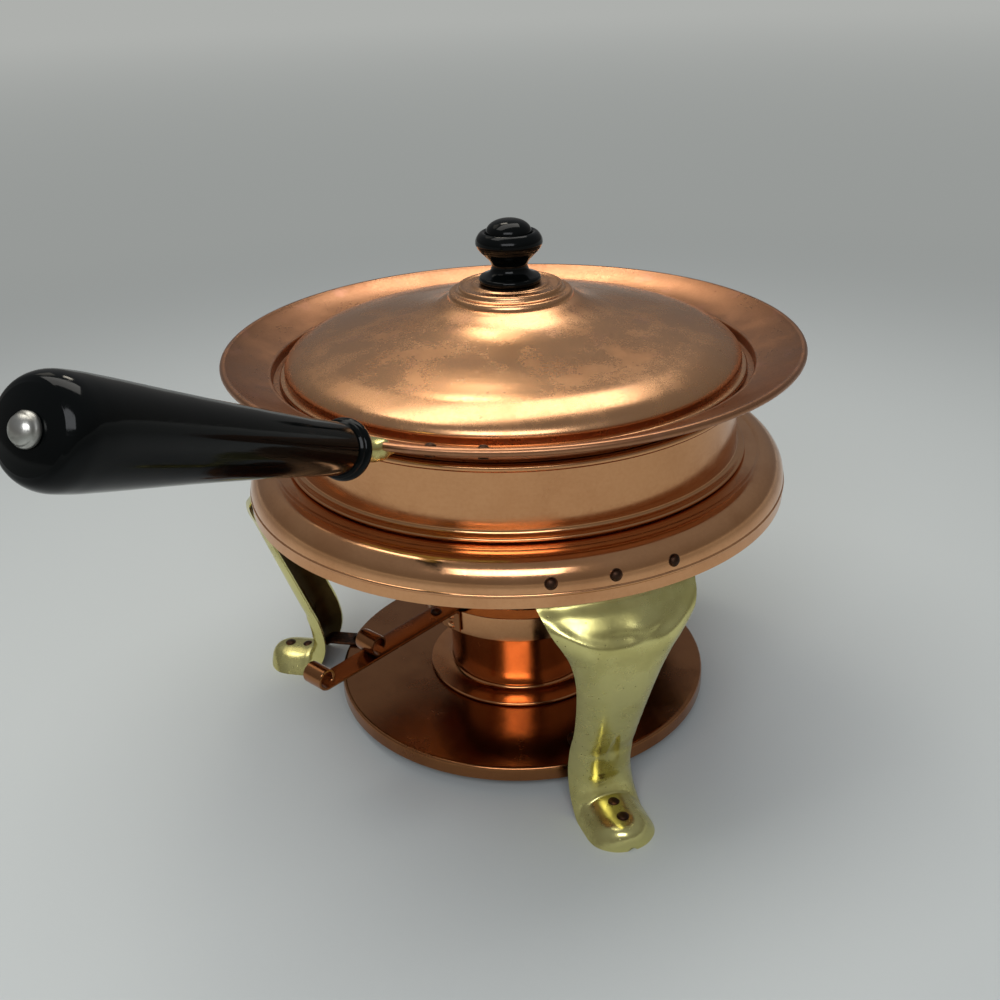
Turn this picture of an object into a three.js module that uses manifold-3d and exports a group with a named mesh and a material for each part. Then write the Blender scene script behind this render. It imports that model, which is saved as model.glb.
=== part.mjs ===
// A copper chafing dish: a round stand on three cabriole legs, a spirit burner on its tray,
// a water pan, a food pan with one long handle, and a lift-off lid with a turned knob.
// Millimetres, +Z up. The front, seen with the handle to the left, faces -Y.
import * as THREE from 'three';
import { mergeVertices } from 'three/addons/utils/BufferGeometryUtils.js';
import Module from 'manifold-3d';

const wasm = await Module();
wasm.setup();

// Fits and gauges shared by every piece.
const SEAT = 0.3; // gap left between a piece and the one that it rests on
const ROOM = 1.1; // radial gap between two curved sheets that nest
const HOLE_ROOM = 0.3; // radial gap round a rivet, rod or screw
const OVERRUN = 2; // how far a cutting shape runs past what it cuts
const COPPER = 1.2; // gauge of the spun copper
const TURN_STEPS = 32; // facets round the large spun pieces
const SMALL_STEPS = 20; // facets round the turned small pieces
const RIVET_STEPS = 8;

// Water pan: a plain drum whose lower part drops through the ring of the stand.
const PAN_RADIUS = 120;
const WATER_WALL_HEIGHT = 31.5;
const WATER_FOOT_BEAD = 3;
const WATER_FOOT_REACH = 4.8;
const WATER_WELL_INSET = 4.8;
const WATER_WELL_DEPTH = 14.6;
const WATER_WELL_CORNER = 4;
const WATER_BEAD = 4; // height and outward reach of the rolled top edge

// Ring of the stand: skirt, small bead, round shoulder and a seat a little below its top.
const RING_WIDTH = 26; // from the water pan's wall to the outside of the skirt
const SKIRT_HEIGHT = 6;
const SKIRT_BEAD = 0.5;
const SHOULDER_RISE = 15.5;
const SHOULDER_WIDTH = 12.5;
const SHOULDER_STEPS = 6;
const SEAT_STEP_WIDTH = 3;
const SEAT_DROP = 0.8; // from the shoulder's top down to the seat
const SEAT_LIP = 3.2; // depth of the turned-down edge of the hole

// Legs: pressed brass shells, each with a knee, a narrow ankle and a shoe-shaped foot.
const LEG_HEIGHT = 137.5; // floor to the lower edge of the skirt
const LEG_COUNT = 3;
const FRONT_LEG_AZIMUTH = -71;
const LEG_SHEET = 2;
const KNEE_REACH = 11.5; // knee beyond the skirt
const ANKLE_INSET = 16.5; // ankle inside the skirt
const TOE_REACH = 15; // toe beyond the skirt
const LEG_TOP_HALF = 40;
const ANKLE_HALF = 17.3;
const KNEE_DEPTH = 18;
const ANKLE_DEPTH = 11;
const FOOT_HEIGHT = 12.3;
const LEG_COLUMNS = 6;

// Tray and the three arms that carry it.
const TRAY_RADIUS = 108.3;
const TRAY_TOP = 17;
const TRAY_EDGE = 7.9;
const TRAY_SHEET = 1.5;
const ARM_WIDTH = 12;
const ARM_SHEET = 1.8;
const ARM_OVERLAP = 24; // how far an arm lies on the tray
const ARM_RISE_LENGTH = 9;

// Rivets.
const RIVET_SHANK = 1.6;
const RIVET_HEAD = 3.1;
const RIVET_HEAD_HEIGHT = 1.9;
const RIVET_TAIL = 2.5;
const RIVET_TAIL_HEIGHT = 1;
const RING_RIVET_ANGLES = [-13.4, -1.5, 10.4]; // degrees from the middle of the leg
const RING_RIVET_LEAN = 75; // degrees from straight up
const FOOT_RIVET_PITCH = 11.7;
const FOOT_RIVET_SETBACK = 12.4; // outer foot rivet behind the toe
const TRAY_RIVET_SETBACK = 4.8; // outer tray rivet inside the tray's edge
const TRAY_RIVET_PITCH = 15.6;

// Food pan: bowl, gutter for the lid, raised flange and rolled rim.
const BOWL_INSET = 9; // bowl wall inside the water pan's wall
const BOWL_FLOOR_GAP = 7.8; // water under the bowl
const BOWL_CORNER = 6;
const GUTTER_RISE = 4.2; // from the water pan's rim up to the gutter
const GUTTER_REACH = 8.6; // gutter wall beyond the water pan's wall
const GUTTER_DEPTH = 5;
const FLANGE_WIDTH = 21.3;
const FLANGE_RISE = 8.2;
const RIM_BEAD = 2;

// Lid: an edge bead, a low dome, a concave sweep and a stepped platform.
const LID_PLAY = 4.9; // between the edge bead and the gutter's outer side
const LID_BEAD = 1.3;
const LID_RISE = 43.7;
const PLATFORM_RADIUS = 33;
const PLATFORM_RISE = 7;

// Knob, with its washer and screw.
const KNOB_HEIGHT = 32.5;
const KNOB_RADIUS = 17.4;
const KNOB_BASE_RADIUS = 16.3;
const SCREW_RADIUS = 2.3;
const SCREW_HEAD_RADIUS = 4.5;
const SCREW_HEAD_HEIGHT = 2.4;
const SCREW_REACH = 13;
const WASHER_RADIUS = 8;
const WASHER_HEIGHT = 1;

// Handle of the food pan.
const HANDLE_AZIMUTH = -114.3;
const HANDLE_RISE_ANGLE = 24;
const HANDLE_DROP = 2.2; // handle axis below the middle of the rolled rim
const HANDLE_GAP = 17; // rim to the grip, along the handle
const GRIP_LENGTH = 171;
const GRIP_COLLAR_RADIUS = 13.3;
const GRIP_COLLAR_LENGTH = 7;
const GRIP_NECK_RADIUS = 11;
const GRIP_END_RADIUS = 18.4;
const ROD_RADIUS = 3;
const ROD_ENTRY = 9;
const NUT_RADIUS = 5.5;
const NUT_HEIGHT = 5;
const NUT_CROWN_SHARES = { radius: 0.7, height: 0.85 };
const BRACKET_SHEET = 1.6;
const BRACKET_GAP = 0.36; // below the flange, a little over the seat because both slope
const BRACKET_NECK = 5;
const BRACKET_NECK_FLARE_SHARE = 1.3; // how much the neck widens towards the grip
const BRACKET_TONGUE_HALF = 9;
const BRACKET_TONGUE_LENGTH = 9;
const BRACKET_SPAN = 22; // degrees each side of the handle
const BRACKET_WIDTH = 12;
const BRACKET_RIVET_ANGLES = [-18.9, -9.6, 9.6, 18.9];
const BRACKET_RIVET_INSET = 7.4;

// Burner: cup with a flared foot and a wide top, wool and gauze inside.
const BURNER_RADIUS = 41.2;
const BURNER_SHEET = 1;
const BURNER_CUP_HEIGHT = 57.7;
const BURNER_CUP_RIM = 3.3;
const BURNER_FOOT_RADIUS = 54.5;
const BURNER_FOOT_HEIGHT = 5.2;
const BURNER_FOOT_EDGE = 1.7;
const GALLERY_RADIUS = 56.5;
const GALLERY_SKIRT = 14.5;
const GALLERY_MOUTH = 33;
const WOOL_HEIGHT = 38;
const GAUZE_SHEET = 1.2;

// Straps of the burner: a long one to pull it by, a short one that swings the snuffer.
const STRAP_AZIMUTH = -131.5;
const STRAP_WIDTH = 12.5;
const STRAP_SHEET = 1.5;
const STRAP_TAB = 14;
const STRAP_REACH = 151; // axis of the long strap's scroll
const SHORT_STRAP_REACH = 116;
const SCROLL_RADIUS = 6.6;
const SCROLL_END_SHARE = 0.6;
const SCROLL_TURN = 320; // degrees
const TAB_RIVET_HEAD = 2.3;
const TAB_RIVET_HEAD_HEIGHT = 1.2;
const TAB_RIVET_PLACE_SHARES = [0.4, 0.82];
const SNUFFER_RADIUS = 46;
const SNUFFER_SHEET = 1.2;
const SNUFFER_PIVOT = 69;

// Heights and radii that follow from the sizes above.
const SKIRT_RADIUS = PAN_RADIUS + RING_WIDTH;
const SHOULDER_FOOT = LEG_HEIGHT + SKIRT_HEIGHT + 2 * SKIRT_BEAD;
const SHOULDER_INNER = SKIRT_RADIUS - SHOULDER_WIDTH;
const RING_SEAT = SHOULDER_FOOT + SHOULDER_RISE - SEAT_DROP;
const WELL_RADIUS = PAN_RADIUS - WATER_WELL_INSET;
const RING_HOLE = WELL_RADIUS + ROOM;
const WATER_FOOT = RING_SEAT + SEAT;
const WATER_BOTTOM = WATER_FOOT - WATER_WELL_DEPTH;
const WATER_TOP = WATER_FOOT + WATER_FOOT_BEAD + WATER_WALL_HEIGHT + WATER_BEAD;
const BOWL_RADIUS = PAN_RADIUS - BOWL_INSET;
const BOWL_BOTTOM = WATER_BOTTOM + COPPER + BOWL_FLOOR_GAP;
const LEDGE_HEIGHT = WATER_TOP + SEAT;
const PAN_FLOOR = BOWL_BOTTOM + COPPER;
const GUTTER_BOTTOM = LEDGE_HEIGHT + GUTTER_RISE;
const GUTTER_FLOOR = GUTTER_BOTTOM + COPPER;
const GUTTER_RADIUS = PAN_RADIUS + GUTTER_REACH;
const FLANGE_FOOT = GUTTER_BOTTOM + GUTTER_DEPTH;
const FLANGE_OUTER = GUTTER_RADIUS + FLANGE_WIDTH;
const FLANGE_TOP = FLANGE_FOOT + FLANGE_RISE;
const FLANGE_SLOPE = Math.atan2(FLANGE_RISE, FLANGE_WIDTH);
const RIM_CENTRE = FLANGE_OUTER + RIM_BEAD / 2;
const RIM_HEIGHT = FLANGE_TOP + COPPER / 2;
const RIM_RADIUS = RIM_CENTRE + RIM_BEAD;
const LID_RADIUS = GUTTER_RADIUS - LID_PLAY;
const LID_EDGE = GUTTER_FLOOR + SEAT;
const LID_PLATFORM = LID_EDGE + LID_RISE - PLATFORM_RISE;
const LID_TOP = LID_EDGE + LID_RISE;
const KNOB_FOOT = LID_TOP + SEAT;
const BURNER_BOTTOM = TRAY_TOP + SEAT;
const BURNER_RIM = BURNER_BOTTOM + BURNER_CUP_HEIGHT;
const GALLERY_BOTTOM = BURNER_RIM + SEAT;
const GALLERY_TOP = GALLERY_BOTTOM + COPPER;
const SNUFFER_BOTTOM = GALLERY_TOP + SEAT;
const SHORT_STRAP_BOTTOM = SNUFFER_BOTTOM + SNUFFER_SHEET + SEAT;
const LONG_STRAP_TOP = SHORT_STRAP_BOTTOM - SEAT;
const LONG_STRAP_BOTTOM = LONG_STRAP_TOP - STRAP_SHEET;
const FOOT_UNDERSIDE = FOOT_HEIGHT - LEG_SHEET;
const TOE_RADIUS = SKIRT_RADIUS + TOE_REACH;
const ANKLE_RADIUS = SKIRT_RADIUS - ANKLE_INSET;
const KNEE_RADIUS = SKIRT_RADIUS + KNEE_REACH;
const HOLE_RADIUS = RIVET_SHANK + HOLE_ROOM;

const radians = THREE.MathUtils.degToRad;
const mix = THREE.MathUtils.lerp;

// Finishes, as plain colours.
function finish(colour, roughness, metalness) {
  return new THREE.MeshStandardMaterial({ color: colour, roughness, metalness });
}
const COPPER_POLISHED = finish(0xb87350, 0.22, 1);
const COPPER_SATIN = finish(0xb07a4c, 0.42, 1);
const BRASS = finish(0xa89a5c, 0.35, 1);
const BRONZE_DARK = finish(0x3a2a20, 0.5, 1);
const PHENOLIC_BLACK = finish(0x0d0f10, 0.25, 0);
const STEEL = finish(0x8a8a88, 0.35, 1);
const WOOL = finish(0xcfc8b8, 0.95, 0);

// Welds a geometry and turns it into a solid whose faces point out.
function solid(geometry) {
  geometry.deleteAttribute('normal');
  geometry.deleteAttribute('uv');
  const welded = mergeVertices(geometry, 1e-4);
  const index = welded.index.array;
  const place = welded.attributes.position;
  const corners = [];
  let volume = 0;
  const [a, b, c] = [new THREE.Vector3(), new THREE.Vector3(), new THREE.Vector3()];
  for (let i = 0; i < index.length; i += 3) {
    const [p, q, r] = [index[i], index[i + 1], index[i + 2]];
    if (p === q || q === r || r === p) continue;
    corners.push(p, q, r);
    a.fromBufferAttribute(place, p);
    b.fromBufferAttribute(place, q);
    c.fromBufferAttribute(place, r);
    volume += a.dot(b.cross(c));
  }
  if (volume < 0) {
    for (let i = 0; i < corners.length; i += 3) {
      [corners[i], corners[i + 1]] = [corners[i + 1], corners[i]];
    }
  }
  const triVerts = new Uint32Array(corners);
  const vertProperties = new Float32Array(place.array);
  return new wasm.Manifold(new wasm.Mesh({ numProp: 3, vertProperties, triVerts }));
}

// Gives a solid back as a named mesh.
function piece(name, body, material) {
  const mesh = body.getMesh();
  const geometry = new THREE.BufferGeometry();
  geometry.setAttribute('position', new THREE.BufferAttribute(mesh.vertProperties.slice(), 3));
  geometry.setIndex(new THREE.BufferAttribute(mesh.triVerts.slice(), 1));
  geometry.computeVertexNormals();
  const result = new THREE.Mesh(geometry, material);
  result.name = name;
  return result;
}

// The frame of a point at an azimuth, radius and height, its +Z leaning outwards from upright.
function frameAt(azimuth, radius, height, lean = 0) {
  const turn = new THREE.Matrix4().makeRotationZ(radians(azimuth));
  const shift = new THREE.Matrix4().makeTranslation(radius, 0, height);
  const tip = new THREE.Matrix4().makeRotationY(radians(lean));
  return turn.multiply(shift).multiply(tip);
}

// Turns a list of [radius, height] points about +Z. The list closes on itself or on the axis.
function turnedGeometry(points, steps) {
  const closed = points[0][0] > 0 ? [...points, points[0]] : points;
  const outline = closed.map(([radius, height]) => new THREE.Vector2(radius, height));
  return new THREE.LatheGeometry(outline, steps).rotateX(Math.PI / 2);
}

function turned(points, steps = TURN_STEPS) {
  return solid(turnedGeometry(points, steps));
}

// Points of an arc in the radius-height plane, angles in degrees from +radius.
function arc(radius, height, size, from, to, steps) {
  return Array.from({ length: steps + 1 }, (_, i) => {
    const angle = radians(mix(from, to, i / steps));
    return [radius + size * Math.cos(angle), height + size * Math.sin(angle)];
  });
}

// The line that keeps a fixed distance to the left of a line of points.
function offsetLine(points, distance) {
  const directions = points.slice(1).map(([r, z], i) => {
    const [dr, dz] = [r - points[i][0], z - points[i][1]];
    const length = Math.hypot(dr, dz);
    return [dr / length, dz / length];
  });
  return points.map(([r, z], i) => {
    const before = directions[Math.max(i - 1, 0)];
    const after = directions[Math.min(i, directions.length - 1)];
    const sum = [before[0] + after[0], before[1] + after[1]];
    const reach = 2 * distance / (sum[0] ** 2 + sum[1] ** 2);
    return [Math.max(r - sum[1] * reach, 0), z + sum[0] * reach];
  });
}

// A sheet of even gauge as a closed outline, laid to the left of its outer line.
function sheet(points, gauge) {
  return [...points, ...offsetLine(points, gauge).reverse()];
}

function shapeOf(points) {
  return new THREE.Shape(points.map(([x, y]) => new THREE.Vector2(x, y)));
}

// An outline in the radius-height plane, given a width across.
function slab(points, width) {
  const geometry = new THREE.ExtrudeGeometry(shapeOf(points), { depth: width, bevelEnabled: false });
  return solid(geometry.translate(0, 0, -width / 2).rotateX(Math.PI / 2));
}

// A plan outline, given a height.
function prism(points, bottom, top) {
  const settings = { depth: top - bottom, bevelEnabled: false };
  return solid(new THREE.ExtrudeGeometry(shapeOf(points), settings).translate(0, 0, bottom));
}

// A plan outline with half-round ends, from one x to another.
function roundEnded(from, to, width, steps) {
  const half = width / 2;
  return [...arc(to - half, 0, half, -90, 90, steps), ...arc(from + half, 0, half, 90, 270, steps)];
}

// A cylinder for cutting a hole, from a depth below its frame to a height above it.
function drill(radius, below, above, frame, steps = RIVET_STEPS) {
  const outline = [[0, -below], [radius, -below], [radius, above], [0, above]];
  return solid(turnedGeometry(outline, steps).applyMatrix4(frame));
}

// A rivet: domed head above the surface, shank through the stack, upset tail below it.
const RIVET_DOME_SHARES = [[0, 1], [0.72, 0.66], [1, 0]];
function rivet(name, frame, stack, head = RIVET_HEAD, headHeight = RIVET_HEAD_HEIGHT) {
  const tail = Math.min(RIVET_TAIL, head * RIVET_TAIL / RIVET_HEAD);
  const dome = RIVET_DOME_SHARES.map(([r, z]) => [r * head, SEAT + z * headHeight]);
  const under = -stack - SEAT;
  const foot = [[RIVET_SHANK, SEAT], [RIVET_SHANK, under], [tail, under]];
  const outline = [...dome, ...foot, [tail, under - RIVET_TAIL_HEIGHT], [0, under - RIVET_TAIL_HEIGHT]];
  const mesh = piece(name, turned(outline, RIVET_STEPS), BRONZE_DARK);
  mesh.applyMatrix4(frame);
  return mesh;
}

// A rivet whose foot is spread into a countersunk hole, flush with the underside.
function flushRivet(name, frame, stack, plate) {
  const dome = RIVET_DOME_SHARES.map(([r, z]) => [r * RIVET_HEAD, SEAT + z * RIVET_HEAD_HEIGHT]);
  const foot = [[RIVET_SHANK, SEAT], [RIVET_SHANK, plate - stack], [RIVET_TAIL, -stack], [0, -stack]];
  const mesh = piece(name, turned([...dome, ...foot], RIVET_STEPS), BRONZE_DARK);
  mesh.applyMatrix4(frame);
  return mesh;
}

// The countersunk hole for such a rivet, from the plate's underside up.
function countersink(plate, frame) {
  const spread = (RIVET_TAIL - RIVET_SHANK) * OVERRUN / plate;
  const outline = [
    [0, -OVERRUN],
    [RIVET_TAIL + HOLE_ROOM + spread, -OVERRUN],
    [HOLE_RADIUS, plate],
    [HOLE_RADIUS, plate + OVERRUN],
    [0, plate + OVERRUN],
  ];
  return solid(turnedGeometry(outline, RIVET_STEPS).applyMatrix4(frame));
}

// Places of the legs and of everything riveted to them.
const LEG_NAMES = ['front', 'left', 'back'];
function legAzimuth(index) {
  return FRONT_LEG_AZIMUTH - index * 360 / LEG_COUNT;
}
const RING_RIVET_RISE_SHARE = 0.32;
const RING_RIVET_DEPTH_SHARE = 1 - Math.sqrt(1 - RING_RIVET_RISE_SHARE ** 2); // how far in the shoulder is there
const RING_RIVET_HEIGHT = SHOULDER_FOOT + RING_RIVET_RISE_SHARE * SHOULDER_RISE;
const RING_RIVET_RADIUS = SKIRT_RADIUS - RING_RIVET_DEPTH_SHARE * SHOULDER_WIDTH;
const RING_RIVET_STACK = COPPER + 2 * ROOM + LEG_SHEET;
const FOOT_RIVET_RADII = [TOE_RADIUS - FOOT_RIVET_SETBACK, TOE_RADIUS - FOOT_RIVET_SETBACK - FOOT_RIVET_PITCH];
const FOOT_RIVET_STACK = LEG_SHEET + SEAT + ARM_SHEET;
const TRAY_RIVET_RADII = [TRAY_RADIUS - TRAY_RIVET_SETBACK, TRAY_RADIUS - TRAY_RIVET_SETBACK - TRAY_RIVET_PITCH];
const TRAY_RIVET_STACK = ARM_SHEET + SEAT + TRAY_SHEET;
const ARM_TOP = TRAY_TOP + SEAT + ARM_SHEET;

function ringRivetFrame(angle) {
  return frameAt(angle, RING_RIVET_RADIUS, RING_RIVET_HEIGHT, RING_RIVET_LEAN);
}

// Shoulder of the ring: a quarter of an ellipse from the skirt's bead up to its top.
function shoulder(steps) {
  return arc(0, 0, 1, 0, 90, steps).map(([across, up]) => [
    SHOULDER_INNER + across * SHOULDER_WIDTH,
    SHOULDER_FOOT + up * SHOULDER_RISE,
  ]);
}

function ringOutline() {
  const outer = [
    [SKIRT_RADIUS, LEG_HEIGHT],
    [SKIRT_RADIUS, LEG_HEIGHT + SKIRT_HEIGHT],
    [SKIRT_RADIUS + SKIRT_BEAD, LEG_HEIGHT + SKIRT_HEIGHT + SKIRT_BEAD],
    ...shoulder(SHOULDER_STEPS),
    [SHOULDER_INNER - SEAT_STEP_WIDTH, RING_SEAT],
    [RING_HOLE, RING_SEAT],
    [RING_HOLE, RING_SEAT - SEAT_LIP],
  ];
  return sheet(outer, COPPER);
}

function buildRing() {
  let ring = turned(ringOutline());
  for (let leg = 0; leg < LEG_COUNT; leg += 1) {
    for (const angle of RING_RIVET_ANGLES) {
      const frame = ringRivetFrame(legAzimuth(leg) + angle);
      ring = ring.subtract(drill(HOLE_RADIUS, RING_RIVET_STACK, OVERRUN, frame));
    }
  }
  return piece('stand_ring', ring, COPPER_POLISHED);
}

// Rows of a leg, from the flange inside the ring down to the toe. Each row has its ridge place,
// its half width, how deep its sides go, how square its section is and how the sheet wraps.
const LEG_ROW_SHARES = [
  // height, sweep from ankle to knee, width from ankle to top, depth, wrap
  [0.953, 0.75, 0.93, 0.4, 0.3],
  [0.902, 0.946, 0.8, 0.5, 0.6],
  [0.844, 1, 0.6, 0.55, 0.9],
  [0.771, 0.932, 0.39, 0.57, 1],
  [0.66, 0.79, 0.2, 0.59, 1],
  [0.5, 0.53, 0.065, 0.61, 1],
  [0.364, 0.279, 0.004, 0.61, 1],
  [0.269, 0.089, 0, 0.61, 1],
];
const ANKLE_ROW_SHARES = [
  // height as a share of the foot's height, place from ankle to toe, lean, width
  [2, 0.003, 10, 1.01],
  [1.23, 0.05, 56, 1.03],
  [1, 0.11, 90, 1.04],
  [1, 0.72, 90, 1.03],
  [0.92, 0.86, 90, 0.9],
  [0.62, 0.96, 90, 0.62],
  [0.13, 1, 90, 0.24],
];
const FOOT_INSIDE_SHARE = 0.75; // the sheet of a low row is at most this part of its height
const TOE_TUCK_SHARES = [0, 0, 0, 0, 0.3, 0.8, 1];
const SECTION_POWER_SHARES = { flange: 2, leg: 4, foot: 4, hollow: 6 };

function flangeRows() {
  const heights = [RING_RIVET_HEIGHT + RIVET_HEAD + ROOM, RING_RIVET_HEIGHT, SHOULDER_FOOT];
  return heights.map((height) => {
    const up = Math.max(0, (height - SHOULDER_FOOT) / SHOULDER_RISE);
    const inside = SHOULDER_INNER + Math.sqrt(1 - up * up) * SHOULDER_WIDTH - COPPER - ROOM;
    return flangeRow(inside - up * COPPER, height);
  });
}

function flangeRow(radius, height) {
  const depth = radius - Math.sqrt(radius ** 2 - LEG_TOP_HALF ** 2);
  const power = SECTION_POWER_SHARES.flange;
  return { radius, height, lean: 0, half: LEG_TOP_HALF, depth, power, wrap: 0, tuck: 0 };
}

function upperRows() {
  const flangeFoot = flangeRow(SKIRT_RADIUS - COPPER - ROOM, LEG_HEIGHT - SEAT);
  const rows = LEG_ROW_SHARES.map(([up, sweep, broad, deep, wrap]) => ({
    radius: mix(ANKLE_RADIUS, KNEE_RADIUS, sweep),
    height: LEG_HEIGHT * up,
    lean: 0,
    half: mix(ANKLE_HALF, LEG_TOP_HALF, broad),
    depth: KNEE_DEPTH * deep,
    power: mix(SECTION_POWER_SHARES.flange, SECTION_POWER_SHARES.leg, wrap),
    wrap,
    tuck: 0,
  }));
  return [flangeFoot, ...rows];
}

function footRows() {
  return ANKLE_ROW_SHARES.map(([up, out, lean, broad], i) => ({
    radius: mix(ANKLE_RADIUS, TOE_RADIUS, out),
    height: FOOT_HEIGHT * up,
    lean,
    half: ANKLE_HALF * broad,
    depth: lean === 90 ? FOOT_HEIGHT * up : ANKLE_DEPTH,
    power: lean === 90 ? SECTION_POWER_SHARES.foot : SECTION_POWER_SHARES.leg,
    wrap: 1,
    tuck: TOE_TUCK_SHARES[i],
  }));
}

// One row of points across the leg, on its outside or its inside.
function legSection(row, inside) {
  const [out, up] = [Math.cos(radians(row.lean)), Math.sin(radians(row.lean))];
  const gauge = inside ? LEG_SHEET : 0;
  const flat = row.lean === 90;
  const drop = flat ? Math.min(gauge, row.height * FOOT_INSIDE_SHARE) : gauge;
  const ridge = [row.radius - drop * out - gauge * row.tuck, row.height - drop * up];
  const half = row.half - gauge * row.wrap;
  const depth = flat ? ridge[1] : row.depth - gauge * row.wrap;
  const power = flat && inside ? SECTION_POWER_SHARES.hollow : row.power;
  return Array.from({ length: LEG_COLUMNS + 1 }, (_, i) => {
    const across = Math.sin(mix(-1, 1, i / LEG_COLUMNS) * Math.PI / 2);
    const back = depth * Math.abs(across) ** power;
    return [ridge[0] - back * out, half * across, ridge[1] - back * up];
  });
}

// Joins the outside rows and the inside rows into one closed shell.
function legShell() {
  const rows = [...flangeRows(), ...upperRows(), ...footRows()];
  const grids = [false, true].map((inside) => rows.map((row) => legSection(row, inside)));
  const places = grids.flat(2);
  const rowLength = LEG_COLUMNS + 1;
  const at = (side, row, column) => (side * rows.length + row) * rowLength + column;
  const index = [];
  const quad = (a, b, c, d) => index.push(a, b, c, a, c, d);
  for (let row = 0; row < rows.length - 1; row += 1) {
    for (let column = 0; column < LEG_COLUMNS; column += 1) {
      quad(at(0, row, column), at(0, row + 1, column), at(0, row + 1, column + 1), at(0, row, column + 1));
      quad(at(1, row, column), at(1, row, column + 1), at(1, row + 1, column + 1), at(1, row + 1, column));
    }
    quad(at(0, row, 0), at(1, row, 0), at(1, row + 1, 0), at(0, row + 1, 0));
    const last = LEG_COLUMNS;
    quad(at(0, row, last), at(0, row + 1, last), at(1, row + 1, last), at(1, row, last));
  }
  const end = rows.length - 1;
  for (let column = 0; column < LEG_COLUMNS; column += 1) {
    quad(at(0, 0, column), at(0, 0, column + 1), at(1, 0, column + 1), at(1, 0, column));
    quad(at(0, end, column), at(1, end, column), at(1, end, column + 1), at(0, end, column + 1));
  }
  const geometry = new THREE.BufferGeometry();
  geometry.setAttribute('position', new THREE.Float32BufferAttribute(places.flat(), 3));
  geometry.setIndex(index);
  return solid(geometry);
}

function buildLeg(index) {
  let leg = legShell();
  for (const angle of RING_RIVET_ANGLES) {
    leg = leg.subtract(drill(HOLE_RADIUS, RING_RIVET_STACK + OVERRUN, 0, ringRivetFrame(angle)));
  }
  for (const radius of FOOT_RIVET_RADII) {
    leg = leg.subtract(drill(HOLE_RADIUS, FOOT_HEIGHT, OVERRUN, frameAt(0, radius, FOOT_HEIGHT)));
  }
  const mesh = piece(`leg_${LEG_NAMES[index]}`, leg, BRASS);
  mesh.rotation.z = radians(legAzimuth(index));
  return mesh;
}

// An arm: flat under the foot, stepped up, and flat on the tray.
function buildArm(index) {
  const low = FOOT_UNDERSIDE - SEAT;
  const high = ARM_TOP;
  const outer = TOE_RADIUS - FOOT_RIVET_SETBACK + ARM_WIDTH / 3;
  const bend = ANKLE_RADIUS + LEG_SHEET;
  const inner = TRAY_RADIUS - ARM_OVERLAP;
  const top = [[outer, low], [bend, low], [bend - ARM_RISE_LENGTH, high], [inner, high]];
  const bar = slab(sheet(top, ARM_SHEET), ARM_WIDTH);
  let arm = bar.intersect(prism(roundEnded(inner, outer, ARM_WIDTH, 5), 0, high + OVERRUN));
  for (const radius of FOOT_RIVET_RADII) {
    arm = arm.subtract(drill(HOLE_RADIUS, ARM_SHEET + OVERRUN, OVERRUN, frameAt(0, radius, low)));
  }
  for (const radius of TRAY_RIVET_RADII) {
    arm = arm.subtract(drill(HOLE_RADIUS, ARM_SHEET + OVERRUN, OVERRUN, frameAt(0, radius, high)));
  }
  const mesh = piece(`tray_arm_${LEG_NAMES[index]}`, arm, BRONZE_DARK);
  mesh.rotation.z = radians(legAzimuth(index));
  return mesh;
}

function buildTray() {
  const under = TRAY_TOP - TRAY_SHEET;
  const outline = [
    [0, under],
    [TRAY_RADIUS - TRAY_SHEET, under],
    [TRAY_RADIUS - TRAY_SHEET, TRAY_TOP - TRAY_EDGE],
    [TRAY_RADIUS, TRAY_TOP - TRAY_EDGE],
    [TRAY_RADIUS, TRAY_TOP - TRAY_SHEET],
    [TRAY_RADIUS - TRAY_SHEET, TRAY_TOP],
    [0, TRAY_TOP],
  ];
  let tray = turned(outline);
  for (let leg = 0; leg < LEG_COUNT; leg += 1) {
    for (const radius of TRAY_RIVET_RADII) {
      const frame = frameAt(legAzimuth(leg), radius, TRAY_TOP);
      tray = tray.subtract(drill(HOLE_RADIUS, TRAY_SHEET + OVERRUN, OVERRUN, frame));
    }
  }
  return piece('burner_tray', tray, COPPER_SATIN);
}

// The rivets of one leg: three in the ring, two in the foot and two in the tray.
function buildLegRivets(index) {
  const azimuth = legAzimuth(index);
  const leg = LEG_NAMES[index];
  const ring = RING_RIVET_ANGLES.map((angle, i) => (
    rivet(`ring_rivet_${leg}_${i + 1}`, ringRivetFrame(azimuth + angle), RING_RIVET_STACK)));
  const foot = FOOT_RIVET_RADII.map((radius, i) => (
    rivet(`foot_rivet_${leg}_${i + 1}`, frameAt(azimuth, radius, FOOT_HEIGHT), FOOT_RIVET_STACK)));
  const tray = TRAY_RIVET_RADII.map((radius, i) => (
    rivet(`tray_rivet_${leg}_${i + 1}`, frameAt(azimuth, radius, ARM_TOP), TRAY_RIVET_STACK)));
  return [...ring, ...foot, ...tray];
}

function buildStand() {
  const stand = new THREE.Group();
  stand.add(buildRing(), buildTray());
  for (let leg = 0; leg < LEG_COUNT; leg += 1) {
    stand.add(buildLeg(leg), buildArm(leg), ...buildLegRivets(leg));
  }
  return stand;
}

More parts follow.
